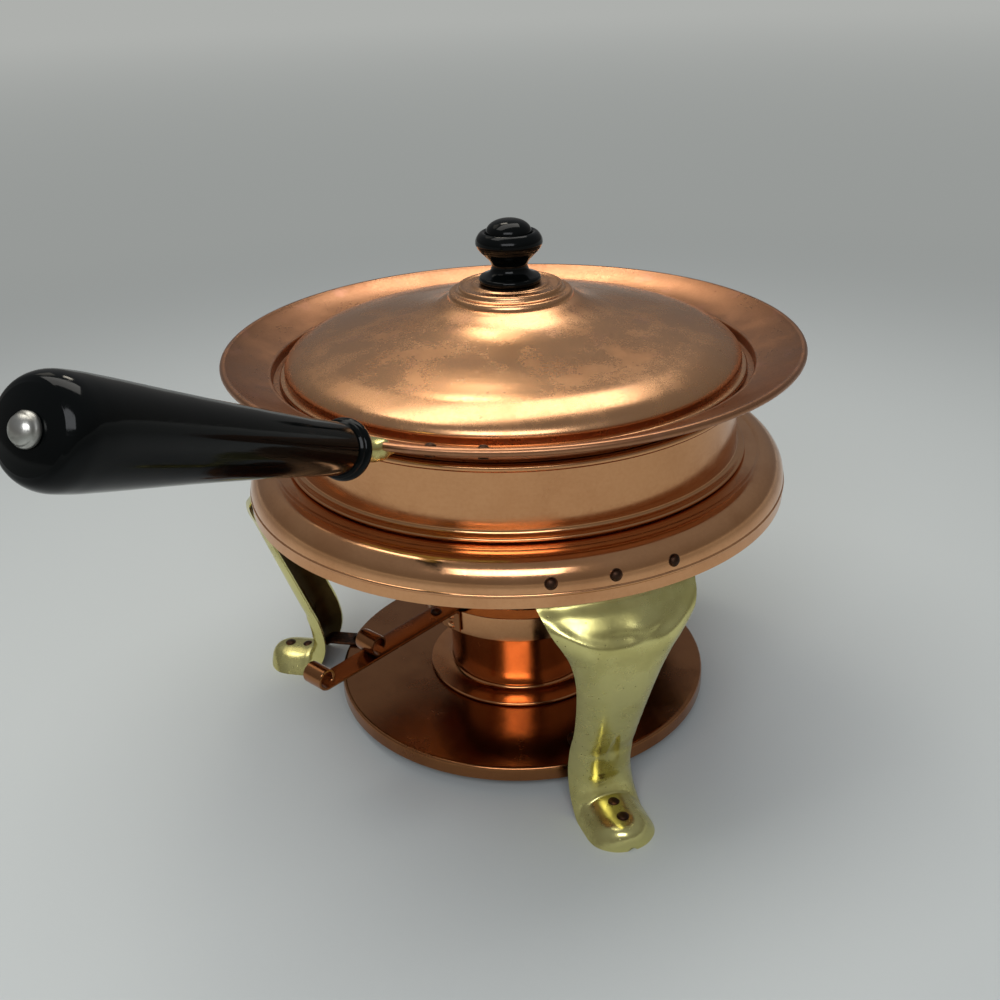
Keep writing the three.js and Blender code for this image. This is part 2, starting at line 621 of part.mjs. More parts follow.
// Outer line of the water pan, from the middle of its floor to its rolled top edge.
function buildWaterPan() {
  const footOuter = PAN_RADIUS + WATER_FOOT_REACH;
  const wallFoot = WATER_FOOT + WATER_FOOT_BEAD;
  const wallTop = WATER_TOP - WATER_BEAD;
  const corner = WELL_RADIUS - WATER_WELL_CORNER;
  const outer = [
    [0, WATER_BOTTOM],
    ...arc(corner, WATER_BOTTOM + WATER_WELL_CORNER, WATER_WELL_CORNER, -90, 0, 2),
    [WELL_RADIUS, WATER_FOOT],
    [footOuter - COPPER, WATER_FOOT],
    [footOuter, WATER_FOOT + COPPER],
    [PAN_RADIUS, wallFoot],
    [PAN_RADIUS, wallTop],
    [PAN_RADIUS + WATER_BEAD, wallTop + WATER_BEAD / 3],
    [PAN_RADIUS + WATER_BEAD, WATER_TOP - WATER_BEAD / 3],
    [PAN_RADIUS + WATER_BEAD / 2, WATER_TOP],
    [PAN_RADIUS - COPPER / 2, WATER_TOP],
  ];
  const inner = [
    [PAN_RADIUS - COPPER, WATER_TOP - COPPER],
    [PAN_RADIUS - COPPER, WATER_FOOT + COPPER],
    [WELL_RADIUS - COPPER, WATER_FOOT + COPPER],
    ...arc(corner, WATER_BOTTOM + WATER_WELL_CORNER, WATER_WELL_CORNER - COPPER, 0, -90, 2),
    [0, WATER_BOTTOM + COPPER],
  ];
  return piece('water_pan', turned([...outer, ...inner]), COPPER_POLISHED);
}

// Places on the flange of the food pan, as a distance in from the rolled rim.
function flangePoint(inset) {
  const height = FLANGE_TOP - inset * Math.tan(FLANGE_SLOPE) + COPPER / Math.cos(FLANGE_SLOPE);
  return [FLANGE_OUTER - inset, height];
}

function bracketRivetFrame(angle) {
  const [radius, height] = flangePoint(BRACKET_RIVET_INSET);
  return frameAt(HANDLE_AZIMUTH + angle, radius, height, -THREE.MathUtils.radToDeg(FLANGE_SLOPE));
}

const BRACKET_RIVET_STACK = COPPER + SEAT + BRACKET_SHEET;

function buildFoodPan() {
  const corner = BOWL_RADIUS - BOWL_CORNER;
  const outer = [
    [0, BOWL_BOTTOM],
    ...arc(corner, BOWL_BOTTOM + BOWL_CORNER, BOWL_CORNER, -90, 0, 2),
    [BOWL_RADIUS, LEDGE_HEIGHT - 2 * COPPER],
    [BOWL_RADIUS + 2 * COPPER, LEDGE_HEIGHT],
    [PAN_RADIUS + COPPER, LEDGE_HEIGHT],
    [PAN_RADIUS - COPPER / 2, LEDGE_HEIGHT + COPPER],
    [PAN_RADIUS - COPPER, GUTTER_BOTTOM],
    [GUTTER_RADIUS - COPPER, GUTTER_BOTTOM],
    [GUTTER_RADIUS, GUTTER_BOTTOM + COPPER],
    [GUTTER_RADIUS, FLANGE_FOOT],
    [FLANGE_OUTER, FLANGE_TOP],
  ];
  const rim = arc(RIM_CENTRE, RIM_HEIGHT, RIM_BEAD, -120, 120, 4);
  const wall = BOWL_RADIUS - COPPER;
  const inner = [
    flangePoint(RIM_BEAD),
    [GUTTER_RADIUS - COPPER, FLANGE_FOOT + COPPER / 2],
    [GUTTER_RADIUS - COPPER, GUTTER_FLOOR + COPPER / 2],
    [GUTTER_RADIUS - 1.5 * COPPER, GUTTER_FLOOR],
    [PAN_RADIUS - 2 * COPPER, GUTTER_FLOOR],
    [PAN_RADIUS - 2 * COPPER, LEDGE_HEIGHT + COPPER],
    [BOWL_RADIUS + COPPER, LEDGE_HEIGHT + COPPER],
    [wall, LEDGE_HEIGHT - COPPER],
    ...arc(corner, BOWL_BOTTOM + BOWL_CORNER, BOWL_CORNER - COPPER, 0, -90, 2),
    [0, PAN_FLOOR],
  ];
  let pan = turned([...outer, ...rim, ...inner]);
  for (const angle of BRACKET_RIVET_ANGLES) {
    pan = pan.subtract(drill(HOLE_RADIUS, BRACKET_RIVET_STACK, OVERRUN, bracketRivetFrame(angle)));
  }
  return piece('food_pan', pan, COPPER_SATIN);
}

// Handle frame: its +Z runs out along the handle from the foot of the grip.
const HANDLE_FOOT_RADIUS = RIM_RADIUS + HANDLE_GAP * Math.cos(radians(HANDLE_RISE_ANGLE));
const HANDLE_FOOT_HEIGHT = RIM_HEIGHT - HANDLE_DROP + HANDLE_GAP * Math.sin(radians(HANDLE_RISE_ANGLE));
const HANDLE_LEAN = 90 - HANDLE_RISE_ANGLE;

function handleFrame(azimuth) {
  return frameAt(azimuth, HANDLE_FOOT_RADIUS, HANDLE_FOOT_HEIGHT, HANDLE_LEAN);
}

// A turned solid whose facets match the pan's once the bracket is turned to the handle's place.
function alignedTurned(points) {
  return solid(turnedGeometry(points, TURN_STEPS).rotateZ(-radians(HANDLE_AZIMUTH)));
}

// The space that the flange, rim and gutter take, with room round them.
function flangeKeepOut() {
  const low = GUTTER_RADIUS - GUTTER_REACH;
  const inset = FLANGE_OUTER - low;
  const under = FLANGE_TOP - inset * Math.tan(FLANGE_SLOPE) - SEAT;
  const rim = arc(RIM_CENTRE, RIM_HEIGHT, RIM_BEAD + SEAT, -130, 120, 6);
  const over = flangePoint(inset)[1] + SEAT;
  const nook = [FLANGE_OUTER - 2 * SEAT, FLANGE_TOP - 2 * SEAT];
  return alignedTurned([[low, under], nook, ...rim, [low, over]]);
}

// The bracket under the flange: a curved strip, and a tongue that grips the rim and holds the rod.
function buildBracket() {
  const inner = FLANGE_OUTER - BRACKET_RIVET_INSET - BRACKET_WIDTH / 2;
  const slope = Math.tan(FLANGE_SLOPE);
  const under = (radius) => FLANGE_TOP - (FLANGE_OUTER - radius) * slope - BRACKET_GAP;
  const outer = inner + BRACKET_WIDTH;
  const drop = BRACKET_SHEET / Math.cos(FLANGE_SLOPE);
  const strip = alignedTurned([
    [inner, under(inner) - drop],
    [outer, under(outer) - drop],
    [outer, under(outer)],
    [inner, under(inner)],
  ]);
  const reach = RIM_RADIUS + OVERRUN;
  const half = radians(BRACKET_SPAN);
  const wedge = [[0, 0], ...arc(0, 0, reach, -BRACKET_SPAN, BRACKET_SPAN, 4)];
  const sector = strip.intersect(prism(wedge, 0, reach / Math.cos(half)));
  const tongueEnd = RIM_RADIUS + BRACKET_TONGUE_LENGTH;
  const axisRise = Math.tan(radians(HANDLE_RISE_ANGLE));
  const axisAt = (radius) => HANDLE_FOOT_HEIGHT + (radius - HANDLE_FOOT_RADIUS) * axisRise;
  const lip = RIM_CENTRE - 2 * RIM_BEAD;
  const side = [
    [outer - BRACKET_WIDTH / 2, under(outer - BRACKET_WIDTH / 2) - drop],
    [RIM_RADIUS, axisAt(RIM_RADIUS) - BRACKET_NECK],
    [tongueEnd, axisAt(tongueEnd) - BRACKET_NECK],
    [tongueEnd, axisAt(tongueEnd) + BRACKET_NECK],
    [RIM_RADIUS, RIM_HEIGHT + RIM_BEAD + COPPER],
    [lip, RIM_HEIGHT + RIM_BEAD + COPPER],
  ];
  const plan = [
    [lip, 0],
    [RIM_RADIUS - RIM_BEAD, -BRACKET_TONGUE_HALF],
    [tongueEnd, -BRACKET_NECK],
    [tongueEnd, BRACKET_NECK],
    [RIM_RADIUS - RIM_BEAD, BRACKET_TONGUE_HALF],
  ];
  const base = [
    [inner, -BRACKET_TONGUE_HALF],
    [RIM_RADIUS, -BRACKET_TONGUE_HALF],
    [RIM_RADIUS, BRACKET_TONGUE_HALF],
    [inner, BRACKET_TONGUE_HALF],
  ];
  const tongue = slab(side, 2 * BRACKET_TONGUE_HALF);
  const lowTongue = tongue.intersect(prism(base, 0, FLANGE_TOP - COPPER));
  const outTongue = tongue.intersect(prism(plan, 0, RIM_HEIGHT + reach));
  const foot = [[0, -HANDLE_GAP + BRACKET_NECK], [BRACKET_NECK, -HANDLE_GAP + BRACKET_NECK]];
  const neckOutline = [...foot, [BRACKET_NECK_FLARE_SHARE * BRACKET_NECK, -SEAT], [0, -SEAT]];
  const neck = solid(turnedGeometry(neckOutline, SMALL_STEPS).applyMatrix4(handleFrame(0)));
  const bore = drill(ROD_RADIUS + HOLE_ROOM, ROD_ENTRY + SEAT, OVERRUN, handleFrame(0), SMALL_STEPS / 2);
  let bracket = sector.add(lowTongue).add(outTongue).add(neck).subtract(flangeKeepOut()).subtract(bore);
  for (const angle of BRACKET_RIVET_ANGLES) {
    const frame = frameAt(-HANDLE_AZIMUTH, 0, 0).multiply(bracketRivetFrame(angle));
    bracket = bracket.subtract(drill(HOLE_RADIUS, BRACKET_RIVET_STACK + OVERRUN, OVERRUN, frame));
  }
  const mesh = piece('handle_bracket', bracket, BRASS);
  mesh.rotation.z = radians(HANDLE_AZIMUTH);
  return mesh;
}

// The grip: a collar, a neck, a long flare and a rounded end, bored for the rod.
const GRIP_SHARES = [
  // place along the flare, radius from neck to end
  [0, 0],
  [0.16, 0.1],
  [0.5, 0.46],
  [0.84, 0.93],
  [0.92, 1],
  [0.965, 0.93],
  [0.99, 0.66],
  [1, 0.3],
];
function buildGrip() {
  const bore = ROD_RADIUS + HOLE_ROOM;
  const collar = [
    [GRIP_NECK_RADIUS, 0],
    [GRIP_COLLAR_RADIUS, GRIP_COLLAR_LENGTH / 4],
    [GRIP_COLLAR_RADIUS, 3 * GRIP_COLLAR_LENGTH / 4],
  ];
  const flare = GRIP_SHARES.map(([along, out]) => [
    mix(GRIP_NECK_RADIUS, GRIP_END_RADIUS, out),
    mix(GRIP_COLLAR_LENGTH, GRIP_LENGTH, along),
  ]);
  const outline = [[bore, 0], ...collar, ...flare, [bore, GRIP_LENGTH]];
  const mesh = piece('handle_grip', turned(outline, SMALL_STEPS), PHENOLIC_BLACK);
  mesh.applyMatrix4(handleFrame(HANDLE_AZIMUTH));
  return mesh;
}

function buildRod() {
  const end = GRIP_LENGTH + NUT_HEIGHT / 2;
  const outline = [[0, -ROD_ENTRY], [ROD_RADIUS, -ROD_ENTRY], [ROD_RADIUS, end], [0, end]];
  const mesh = piece('handle_rod', turned(outline, SMALL_STEPS / 2), STEEL);
  mesh.applyMatrix4(handleFrame(HANDLE_AZIMUTH));
  return mesh;
}

function buildNut() {
  const bore = ROD_RADIUS + HOLE_ROOM;
  const start = GRIP_LENGTH + SEAT;
  const roof = GRIP_LENGTH + NUT_HEIGHT / 2 + SEAT;
  const outline = [
    [0, roof],
    [bore, roof],
    [bore, start],
    [NUT_RADIUS, start],
    [NUT_RADIUS, start + NUT_HEIGHT / 3],
    [NUT_CROWN_SHARES.radius * NUT_RADIUS, start + NUT_CROWN_SHARES.height * NUT_HEIGHT],
    [0, start + NUT_HEIGHT],
  ];
  const mesh = piece('handle_nut', turned(outline, SMALL_STEPS / 2), STEEL);
  mesh.applyMatrix4(handleFrame(HANDLE_AZIMUTH));
  return mesh;
}

function buildFoodPanGroup() {
  const group = new THREE.Group();
  const rivets = BRACKET_RIVET_ANGLES.map((angle, i) => (
    rivet(`bracket_rivet_${i + 1}`, bracketRivetFrame(angle), BRACKET_RIVET_STACK)));
  group.add(buildFoodPan(), buildBracket(), buildGrip(), buildRod(), buildNut(), ...rivets);
  return group;
}

// The lid's dome, from its edge to the foot of the platform.
const DOME_SHARES = [
  // place from the platform's edge out to the lid's edge, height from the edge to the platform
  [0.97, 0],
  [0.965, 0.13],
  [0.93, 0.25],
  [0.82, 0.41],
  [0.54, 0.6],
  [0.35, 0.69],
  [0.2, 0.775],
  [0.1, 0.87],
  [0.03, 0.97],
];
const PLATFORM_SHARES = [
  // share of the platform's radius and of its rise
  [1, 0],
  [0.97, 0.42],
  [0.88, 0.42],
  [0.82, 0.72],
  [0.66, 0.7],
  [0.54, 1],
];
function buildLid() {
  const bore = SCREW_RADIUS + HOLE_ROOM;
  const domeFoot = LID_EDGE + 2 * LID_BEAD;
  const dome = DOME_SHARES.map(([out, up]) => [
    mix(PLATFORM_RADIUS, LID_RADIUS, out),
    mix(domeFoot, LID_PLATFORM, up),
  ]);
  const platform = PLATFORM_SHARES.map(([out, up]) => [
    out * PLATFORM_RADIUS,
    mix(LID_PLATFORM, LID_TOP, up),
  ]);
  const top = [...dome, ...platform, [bore, LID_TOP]];
  const under = offsetLine(top, COPPER).reverse();
  const beadCentre = LID_RADIUS - LID_BEAD;
  const bead = arc(beadCentre, LID_EDGE + LID_BEAD, LID_BEAD, -110, 90, 3);
  const outline = [...bead, ...top, ...under];
  return piece('lid', turned(outline), COPPER_SATIN);
}

// The knob: a turned base, a slim neck, a broad bead and a small cap, bored for its screw.
const KNOB_SHARES = [
  // share of the knob's widest radius and of its height
  [0.87, 0],
  [0.935, 0.04],
  [0.92, 0.085],
  [0.59, 0.19],
  [0.54, 0.275],
  [0.6, 0.35],
  [0.74, 0.43],
  [0.88, 0.505],
  [1, 0.62],
  [0.94, 0.735],
  [0.78, 0.8],
  [0.69, 0.785],
  [0.66, 0.84],
  [0.5, 0.94],
  [0, 1],
];
function buildKnob() {
  const bore = SCREW_RADIUS + HOLE_ROOM;
  const depth = KNOB_FOOT + SCREW_REACH + SEAT;
  const outside = KNOB_SHARES.map(([out, up]) => [out * KNOB_RADIUS, KNOB_FOOT + up * KNOB_HEIGHT]);
  const outline = [[0, depth], [bore, depth], [bore, KNOB_FOOT], ...outside];
  return piece('knob', turned(outline, SMALL_STEPS), PHENOLIC_BLACK);
}

function buildKnobScrew() {
  const washerBottom = LID_TOP - COPPER - SEAT - WASHER_HEIGHT;
  const headTop = washerBottom - SEAT;
  const washerOutline = [
    [SCREW_RADIUS + HOLE_ROOM, washerBottom],
    [WASHER_RADIUS, washerBottom],
    [WASHER_RADIUS, washerBottom + WASHER_HEIGHT],
    [SCREW_RADIUS + HOLE_ROOM, washerBottom + WASHER_HEIGHT],
  ];
  const screwOutline = [
    [0, headTop - SCREW_HEAD_HEIGHT],
    [0.6 * SCREW_HEAD_RADIUS, headTop - SCREW_HEAD_HEIGHT],
    [SCREW_HEAD_RADIUS, headTop - SCREW_HEAD_HEIGHT / 2],
    [SCREW_HEAD_RADIUS, headTop],
    [SCREW_RADIUS, headTop],
    [SCREW_RADIUS, KNOB_FOOT + SCREW_REACH],
    [0, KNOB_FOOT + SCREW_REACH],
  ];
  const steps = SMALL_STEPS / 2;
  const washer = piece('knob_washer', turned(washerOutline, steps), STEEL);
  return [washer, piece('knob_screw', turned(screwOutline, steps), STEEL)];
}

function buildLidGroup() {
  const group = new THREE.Group();
  group.add(buildLid(), buildKnob(), ...buildKnobScrew());
  return group;
}

function buildCup() {
  const edge = BURNER_RADIUS + BURNER_CUP_RIM;
  const outer = [
    [0, BURNER_BOTTOM],
    [BURNER_RADIUS - BURNER_SHEET, BURNER_BOTTOM],
    [BURNER_RADIUS, BURNER_BOTTOM + BURNER_SHEET],
    [BURNER_RADIUS, BURNER_RIM - BURNER_SHEET],
    [edge, BURNER_RIM - BURNER_SHEET],
    [edge, BURNER_RIM],
    [BURNER_RADIUS - BURNER_SHEET, BURNER_RIM],
    [BURNER_RADIUS - BURNER_SHEET, BURNER_BOTTOM + BURNER_SHEET],
    [0, BURNER_BOTTOM + BURNER_SHEET],
  ];
  return piece('burner_cup', turned(outer), COPPER_POLISHED);
}

// The flared foot round the cup.
function buildBurnerFoot() {
  const inner = BURNER_RADIUS + SEAT;
  const width = BURNER_FOOT_RADIUS - inner;
  const height = BURNER_FOOT_HEIGHT - BURNER_FOOT_EDGE;
  const edgeTop = BURNER_BOTTOM + BURNER_FOOT_EDGE;
  const flare = arc(0, 0, 1, 0, 90, 3).map(([across, up]) => [
    BURNER_FOOT_RADIUS - width * up,
    edgeTop + height * (1 - across),
  ]);
  const outline = [[inner, BURNER_BOTTOM], [BURNER_FOOT_RADIUS, BURNER_BOTTOM], ...flare];
  return piece('burner_foot', turned(outline), COPPER_POLISHED);
}

const TAB_RIVET_STACK = STRAP_SHEET + 2 * SEAT + COPPER;
const TAB_OUTSIDE = GALLERY_RADIUS + SEAT + STRAP_SHEET;

function tabRivetFrame(share) {
  return frameAt(STRAP_AZIMUTH, TAB_OUTSIDE, LONG_STRAP_TOP - share * STRAP_TAB, 90);
}

// The gallery: a flat ring over the cup, with a deep skirt.
function buildGallery() {
  const skirtFoot = GALLERY_TOP - GALLERY_SKIRT;
  const outline = [
    [GALLERY_MOUTH, GALLERY_BOTTOM],
    [GALLERY_RADIUS - COPPER, GALLERY_BOTTOM],
    [GALLERY_RADIUS - COPPER, skirtFoot],
    [GALLERY_RADIUS, skirtFoot],
    [GALLERY_RADIUS, GALLERY_TOP - COPPER / 2],
    [GALLERY_RADIUS - COPPER / 2, GALLERY_TOP],
    [GALLERY_MOUTH, GALLERY_TOP],
  ];
  let gallery = turned(outline);
  for (const share of TAB_RIVET_PLACE_SHARES) {
    const below = TAB_RIVET_STACK + OVERRUN;
    gallery = gallery.subtract(drill(HOLE_RADIUS, below, 0, tabRivetFrame(share)));
  }
  return piece('burner_gallery', gallery, COPPER_POLISHED);
}

function disc(name, radius, bottom, height, material) {
  const top = bottom + height;
  return piece(name, turned([[0, bottom], [radius, bottom], [radius, top], [0, top]]), material);
}

// The middle line of a strap's scroll, curling up and back from the strap's end.
function scrollLine(reach, height, steps) {
  return Array.from({ length: steps + 1 }, (_, i) => {
    const share = i / steps;
    const angle = radians(-90 + SCROLL_TURN * share);
    const size = SCROLL_RADIUS * mix(1, SCROLL_END_SHARE, share);
    return [reach + size * Math.cos(angle), height + SCROLL_RADIUS + size * Math.sin(angle)];
  });
}

function buildLongStrap() {
  const outside = TAB_OUTSIDE;
  const scroll = scrollLine(STRAP_REACH, LONG_STRAP_BOTTOM, 14);
  const under = [
    [outside, LONG_STRAP_TOP - STRAP_TAB],
    [outside, LONG_STRAP_BOTTOM - STRAP_SHEET],
    [outside + STRAP_SHEET, LONG_STRAP_BOTTOM],
    ...scroll,
  ];
  let strap = slab(sheet(under, STRAP_SHEET), STRAP_WIDTH);
  const frames = TAB_RIVET_PLACE_SHARES.map((share) => (
    frameAt(-STRAP_AZIMUTH, 0, 0).multiply(tabRivetFrame(share))));
  for (const frame of frames) {
    strap = strap.subtract(drill(HOLE_RADIUS, STRAP_SHEET + OVERRUN, OVERRUN, frame));
  }
  const pivot = frameAt(0, SNUFFER_PIVOT, LONG_STRAP_TOP);
  strap = strap.subtract(drill(HOLE_RADIUS, STRAP_SHEET + OVERRUN, OVERRUN, pivot));
  const mesh = piece('burner_strap', strap, COPPER_POLISHED);
  mesh.rotation.z = radians(STRAP_AZIMUTH);
  return mesh;
}

function buildBurner() {
  const group = new THREE.Group();
  const woolRadius = BURNER_RADIUS - BURNER_SHEET - SEAT;
  const woolBottom = BURNER_BOTTOM + BURNER_SHEET + SEAT;
  const gauzeBottom = woolBottom + WOOL_HEIGHT + SEAT;
  const pivotFrame = frameAt(STRAP_AZIMUTH, SNUFFER_PIVOT, SHORT_STRAP_BOTTOM + STRAP_SHEET);
  const tabRivets = TAB_RIVET_PLACE_SHARES.map((share, i) => rivet(
    `strap_rivet_${i + 1}`, tabRivetFrame(share), TAB_RIVET_STACK, TAB_RIVET_HEAD, TAB_RIVET_HEAD_HEIGHT));
  group.add(
    buildCup(),
    buildBurnerFoot(),
    buildGallery(),
    disc('burner_wool', woolRadius, woolBottom, WOOL_HEIGHT, WOOL),
    disc('burner_gauze', woolRadius, gauzeBottom, GAUZE_SHEET, STEEL),
    buildLongStrap(),
    rivet('snuffer_pivot', pivotFrame, 2 * STRAP_SHEET + SEAT),
    ...tabRivets,
  );
  return group;
}

// The snuffer: a flat disc under the short strap, which swings about the pivot rivet.
function buildSnuffer() {
  const top = SNUFFER_BOTTOM + SNUFFER_SHEET;
  const outline = [
    [0, SNUFFER_BOTTOM],
    [SNUFFER_RADIUS, SNUFFER_BOTTOM],
    [SNUFFER_RADIUS, top - SNUFFER_SHEET / 2],
    [SNUFFER_RADIUS - SNUFFER_SHEET / 2, top],
    [0, top],
  ];
  const centre = frameAt(STRAP_AZIMUTH, 0, SNUFFER_BOTTOM);
  const plate = turned(outline).subtract(countersink(SNUFFER_SHEET, centre));
  const under = [[-STRAP_WIDTH / 2, SHORT_STRAP_BOTTOM], ...scrollLine(SHORT_STRAP_REACH, SHORT_STRAP_BOTTOM, 14)];
  let strap = slab(sheet(under, STRAP_SHEET), STRAP_WIDTH);
  const full = roundEnded(-STRAP_WIDTH / 2, SHORT_STRAP_REACH + 2 * SCROLL_RADIUS, STRAP_WIDTH, 4);
  const squareEnd = [
    [0, -STRAP_WIDTH],
    [SHORT_STRAP_REACH + 2 * SCROLL_RADIUS, -STRAP_WIDTH],
    [SHORT_STRAP_REACH + 2 * SCROLL_RADIUS, STRAP_WIDTH],
    [0, STRAP_WIDTH],
  ];
  const ceiling = SHORT_STRAP_BOTTOM + 4 * SCROLL_RADIUS;
  strap = strap.intersect(prism(full, 0, ceiling).add(prism(squareEnd, 0, ceiling)));
  for (const radius of [0, SNUFFER_PIVOT]) {
    const frame = frameAt(0, radius, SHORT_STRAP_BOTTOM);
    strap = strap.subtract(drill(HOLE_RADIUS, OVERRUN, STRAP_SHEET + OVERRUN, frame));
  }
  const strapMesh = piece('snuffer_strap', strap, COPPER_POLISHED);
  strapMesh.rotation.z = radians(STRAP_AZIMUTH);
  const group = new THREE.Group();
  const rivetFrame = frameAt(STRAP_AZIMUTH, 0, SHORT_STRAP_BOTTOM + STRAP_SHEET);
  group.add(
    piece('snuffer_disc', plate, COPPER_POLISHED),
    strapMesh,
    flushRivet('snuffer_rivet', rivetFrame, STRAP_SHEET + SEAT + SNUFFER_SHEET, SNUFFER_SHEET),
  );
  return group;
}

// The whole dish. Heights above are from the table, and the origin is the middle of the food pan's floor.
function buildDish() {
  const dish = new THREE.Group();
  dish.add(buildStand(), buildWaterPan(), buildFoodPanGroup(), buildLidGroup(), buildBurner(), buildSnuffer());
  dish.position.z = -PAN_FLOOR;
  return dish;
}

export default buildDish();
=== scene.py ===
"""Looks of a round copper chafing dish: spun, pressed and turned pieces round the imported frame.

Sizes are in millimetres, as a maker would write them, and heights are above the table. Meshes are
handed to Blender in metres, in the frame whose origin is the middle of the food pan's floor.
"""

import logging
import math
from dataclasses import dataclass, field
from enum import Enum
from typing import Any

import bmesh
import bpy
import numpy as np
from mathutils import Matrix, Vector

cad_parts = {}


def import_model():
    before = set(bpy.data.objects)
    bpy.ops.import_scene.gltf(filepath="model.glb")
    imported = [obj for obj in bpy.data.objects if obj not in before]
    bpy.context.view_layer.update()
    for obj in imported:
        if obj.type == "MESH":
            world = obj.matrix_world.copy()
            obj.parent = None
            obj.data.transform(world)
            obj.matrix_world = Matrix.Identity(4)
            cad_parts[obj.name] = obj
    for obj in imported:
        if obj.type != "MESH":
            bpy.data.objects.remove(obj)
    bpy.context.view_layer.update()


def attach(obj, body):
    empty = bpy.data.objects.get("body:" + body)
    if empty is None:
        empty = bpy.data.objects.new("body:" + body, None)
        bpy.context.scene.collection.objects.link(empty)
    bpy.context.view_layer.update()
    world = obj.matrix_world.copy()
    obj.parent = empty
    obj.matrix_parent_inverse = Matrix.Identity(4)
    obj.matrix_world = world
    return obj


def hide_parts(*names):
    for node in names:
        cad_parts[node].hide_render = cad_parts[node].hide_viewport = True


LOG = logging.getLogger("chafing_dish")
MM = 0.001
PAN_FLOOR = 155.1  # the frame's origin above the table
HANDLE_AZIMUTH = -114.3
STRAP_AZIMUTH = -131.5

Line = list[tuple[float, float]]


class Body(Enum):
    """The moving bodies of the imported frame."""

    STAND = "stand"
    WATER_PAN = "water_pan"
    FOOD_PAN = "food_pan"
    LID = "lid"
    BURNER = "burner"
    SNUFFER = "snuffer"


class Slot(Enum):
    """The record's material slots."""

    POLISHED = "copper_polished"
    SATIN = "copper_satin"
    BRASS = "cast_brass"
    BRONZE = "dark_bronze"
    PHENOLIC = "black_phenolic"
    STEEL = "steel_fittings"
    WOOL = "wick_wool"


class Leg(Enum):
    """The three legs, each with its azimuth in degrees."""

    FRONT = -71.0
    LEFT = -191.0
    BACK = -311.0

    @property
    def word(self) -> str:
        """The leg's name as the frame's nodes spell it."""
        return self.name.lower()


# ---- Lines in the radius-height plane ----


def arc(radius: float, height: float, size: float, start: float, end: float, steps: int) -> Line:
    """Gives points of a round arc.

    Args:
        radius: Radius of the arc's centre.
        height: Height of the arc's centre.
        size: The arc's own radius.
        start: First angle in degrees, from outwards.
        end: Last angle in degrees.
        steps: Number of stretches.

    Returns:
        The points, both ends included.
    """
    angles = np.radians(np.linspace(start, end, steps + 1))
    return [(radius + size * math.cos(a), height + size * math.sin(a)) for a in angles]


def eased(points: Line, cut: float, steps: int = 3, closed: bool = False) -> Line:
    """Rounds the corners of a line, as a spinning roller or a file leaves them.

    Args:
        points: The line's corners.
        cut: How far back from a corner the rounding starts.
        steps: Stretches of each rounding.
        closed: Whether the last point joins the first.

    Returns:
        The rounded line.
    """
    count = len(points)
    rounded: Line = []
    for index, corner in enumerate(points):
        if not closed and index in (0, count - 1):
            rounded.append(corner)
            continue
        here = np.array(corner)
        before, after = np.array(points[index - 1]), np.array(points[(index + 1) % count])
        back, ahead = before - here, after - here
        spans = np.linalg.norm(back), np.linalg.norm(ahead)
        if min(spans) < 1e-6 or corner[0] < 1e-6:
            rounded.append(corner)
            continue
        start = here + back / spans[0] * min(cut, 0.45 * spans[0])
        end = here + ahead / spans[1] * min(cut, 0.45 * spans[1])
        for share in np.linspace(0, 1, steps + 1):
            place = (1 - share) ** 2 * start + 2 * share * (1 - share) * here + share**2 * end
            rounded.append((float(place[0]), float(place[1])))
    return rounded


def flowing(points: Line, steps: int = 6) -> Line:
    """Lays a smooth curve through the points of a line, without overshoot at uneven spacing.

    Args:
        points: The points that the curve passes.
        steps: Stretches between two of them.

    Returns:
        The finer line.
    """
    knots = [2 * np.array(points[0]) - points[1], *map(np.array, points)]
    knots.append(2 * np.array(points[-1]) - points[-2])
    fine: Line = []
    for a, b, c, d in zip(knots, knots[1:], knots[2:], knots[3:]):
        spans = [max(np.linalg.norm(q - p) ** 0.5, 1e-4) for p, q in ((a, b), (b, c), (c, d))]
        leave = (b - a) / spans[0] - (c - a) / (spans[0] + spans[1]) + (c - b) / spans[1]
        reach = (c - b) / spans[1] - (d - b) / (spans[1] + spans[2]) + (d - c) / spans[2]
        for share in np.linspace(0, 1, steps, endpoint=False):
            s2, s3 = share**2, share**3
            place = (
                (2 * s3 - 3 * s2 + 1) * b + (s3 - 2 * s2 + share) * leave * spans[1]
                + (3 * s2 - 2 * s3) * c + (s3 - s2) * reach * spans[1]
            )
            fine.append((float(place[0]), float(place[1])))
    return [*fine, tuple(map(float, points[-1]))]


def beside(points: Line, distance: float) -> Line:
    """Gives the line that keeps a fixed distance to the left of another.

    Args:
        points: The first line.
        distance: The distance between the two.

    Returns:
        The second line, point for point, which never crosses the axis.
    """
    line = np.array(points, float)
    steps = np.diff(line, axis=0)
    steps /= np.linalg.norm(steps, axis=1)[:, None]
    total = np.vstack([steps[:1] * 2, steps[:-1] + steps[1:], steps[-1:] * 2])
    reach = 2 * distance / np.maximum((total**2).sum(1), 0.6)
    moved = line + np.stack([-total[:, 1], total[:, 0]], 1) * reach[:, None]
    moved[:, 0] = np.maximum(moved[:, 0], 0)
    return [tuple(map(float, place)) for place in moved]


def sheet(points: Line, gauge: float) -> Line:
    """Closes a line into the outline of a sheet of even gauge, laid to its left."""
    return [*points, *beside(points, gauge)[::-1]]


def smoothstep(value: np.ndarray | float, low: float, high: float) -> np.ndarray | float:
    """Rises smoothly from 0 at low to 1 at high, or falls where high is the lower."""
    share = np.clip((np.asarray(value, float) - low) / (high - low), 0, 1)
    return share * share * (3 - 2 * share)


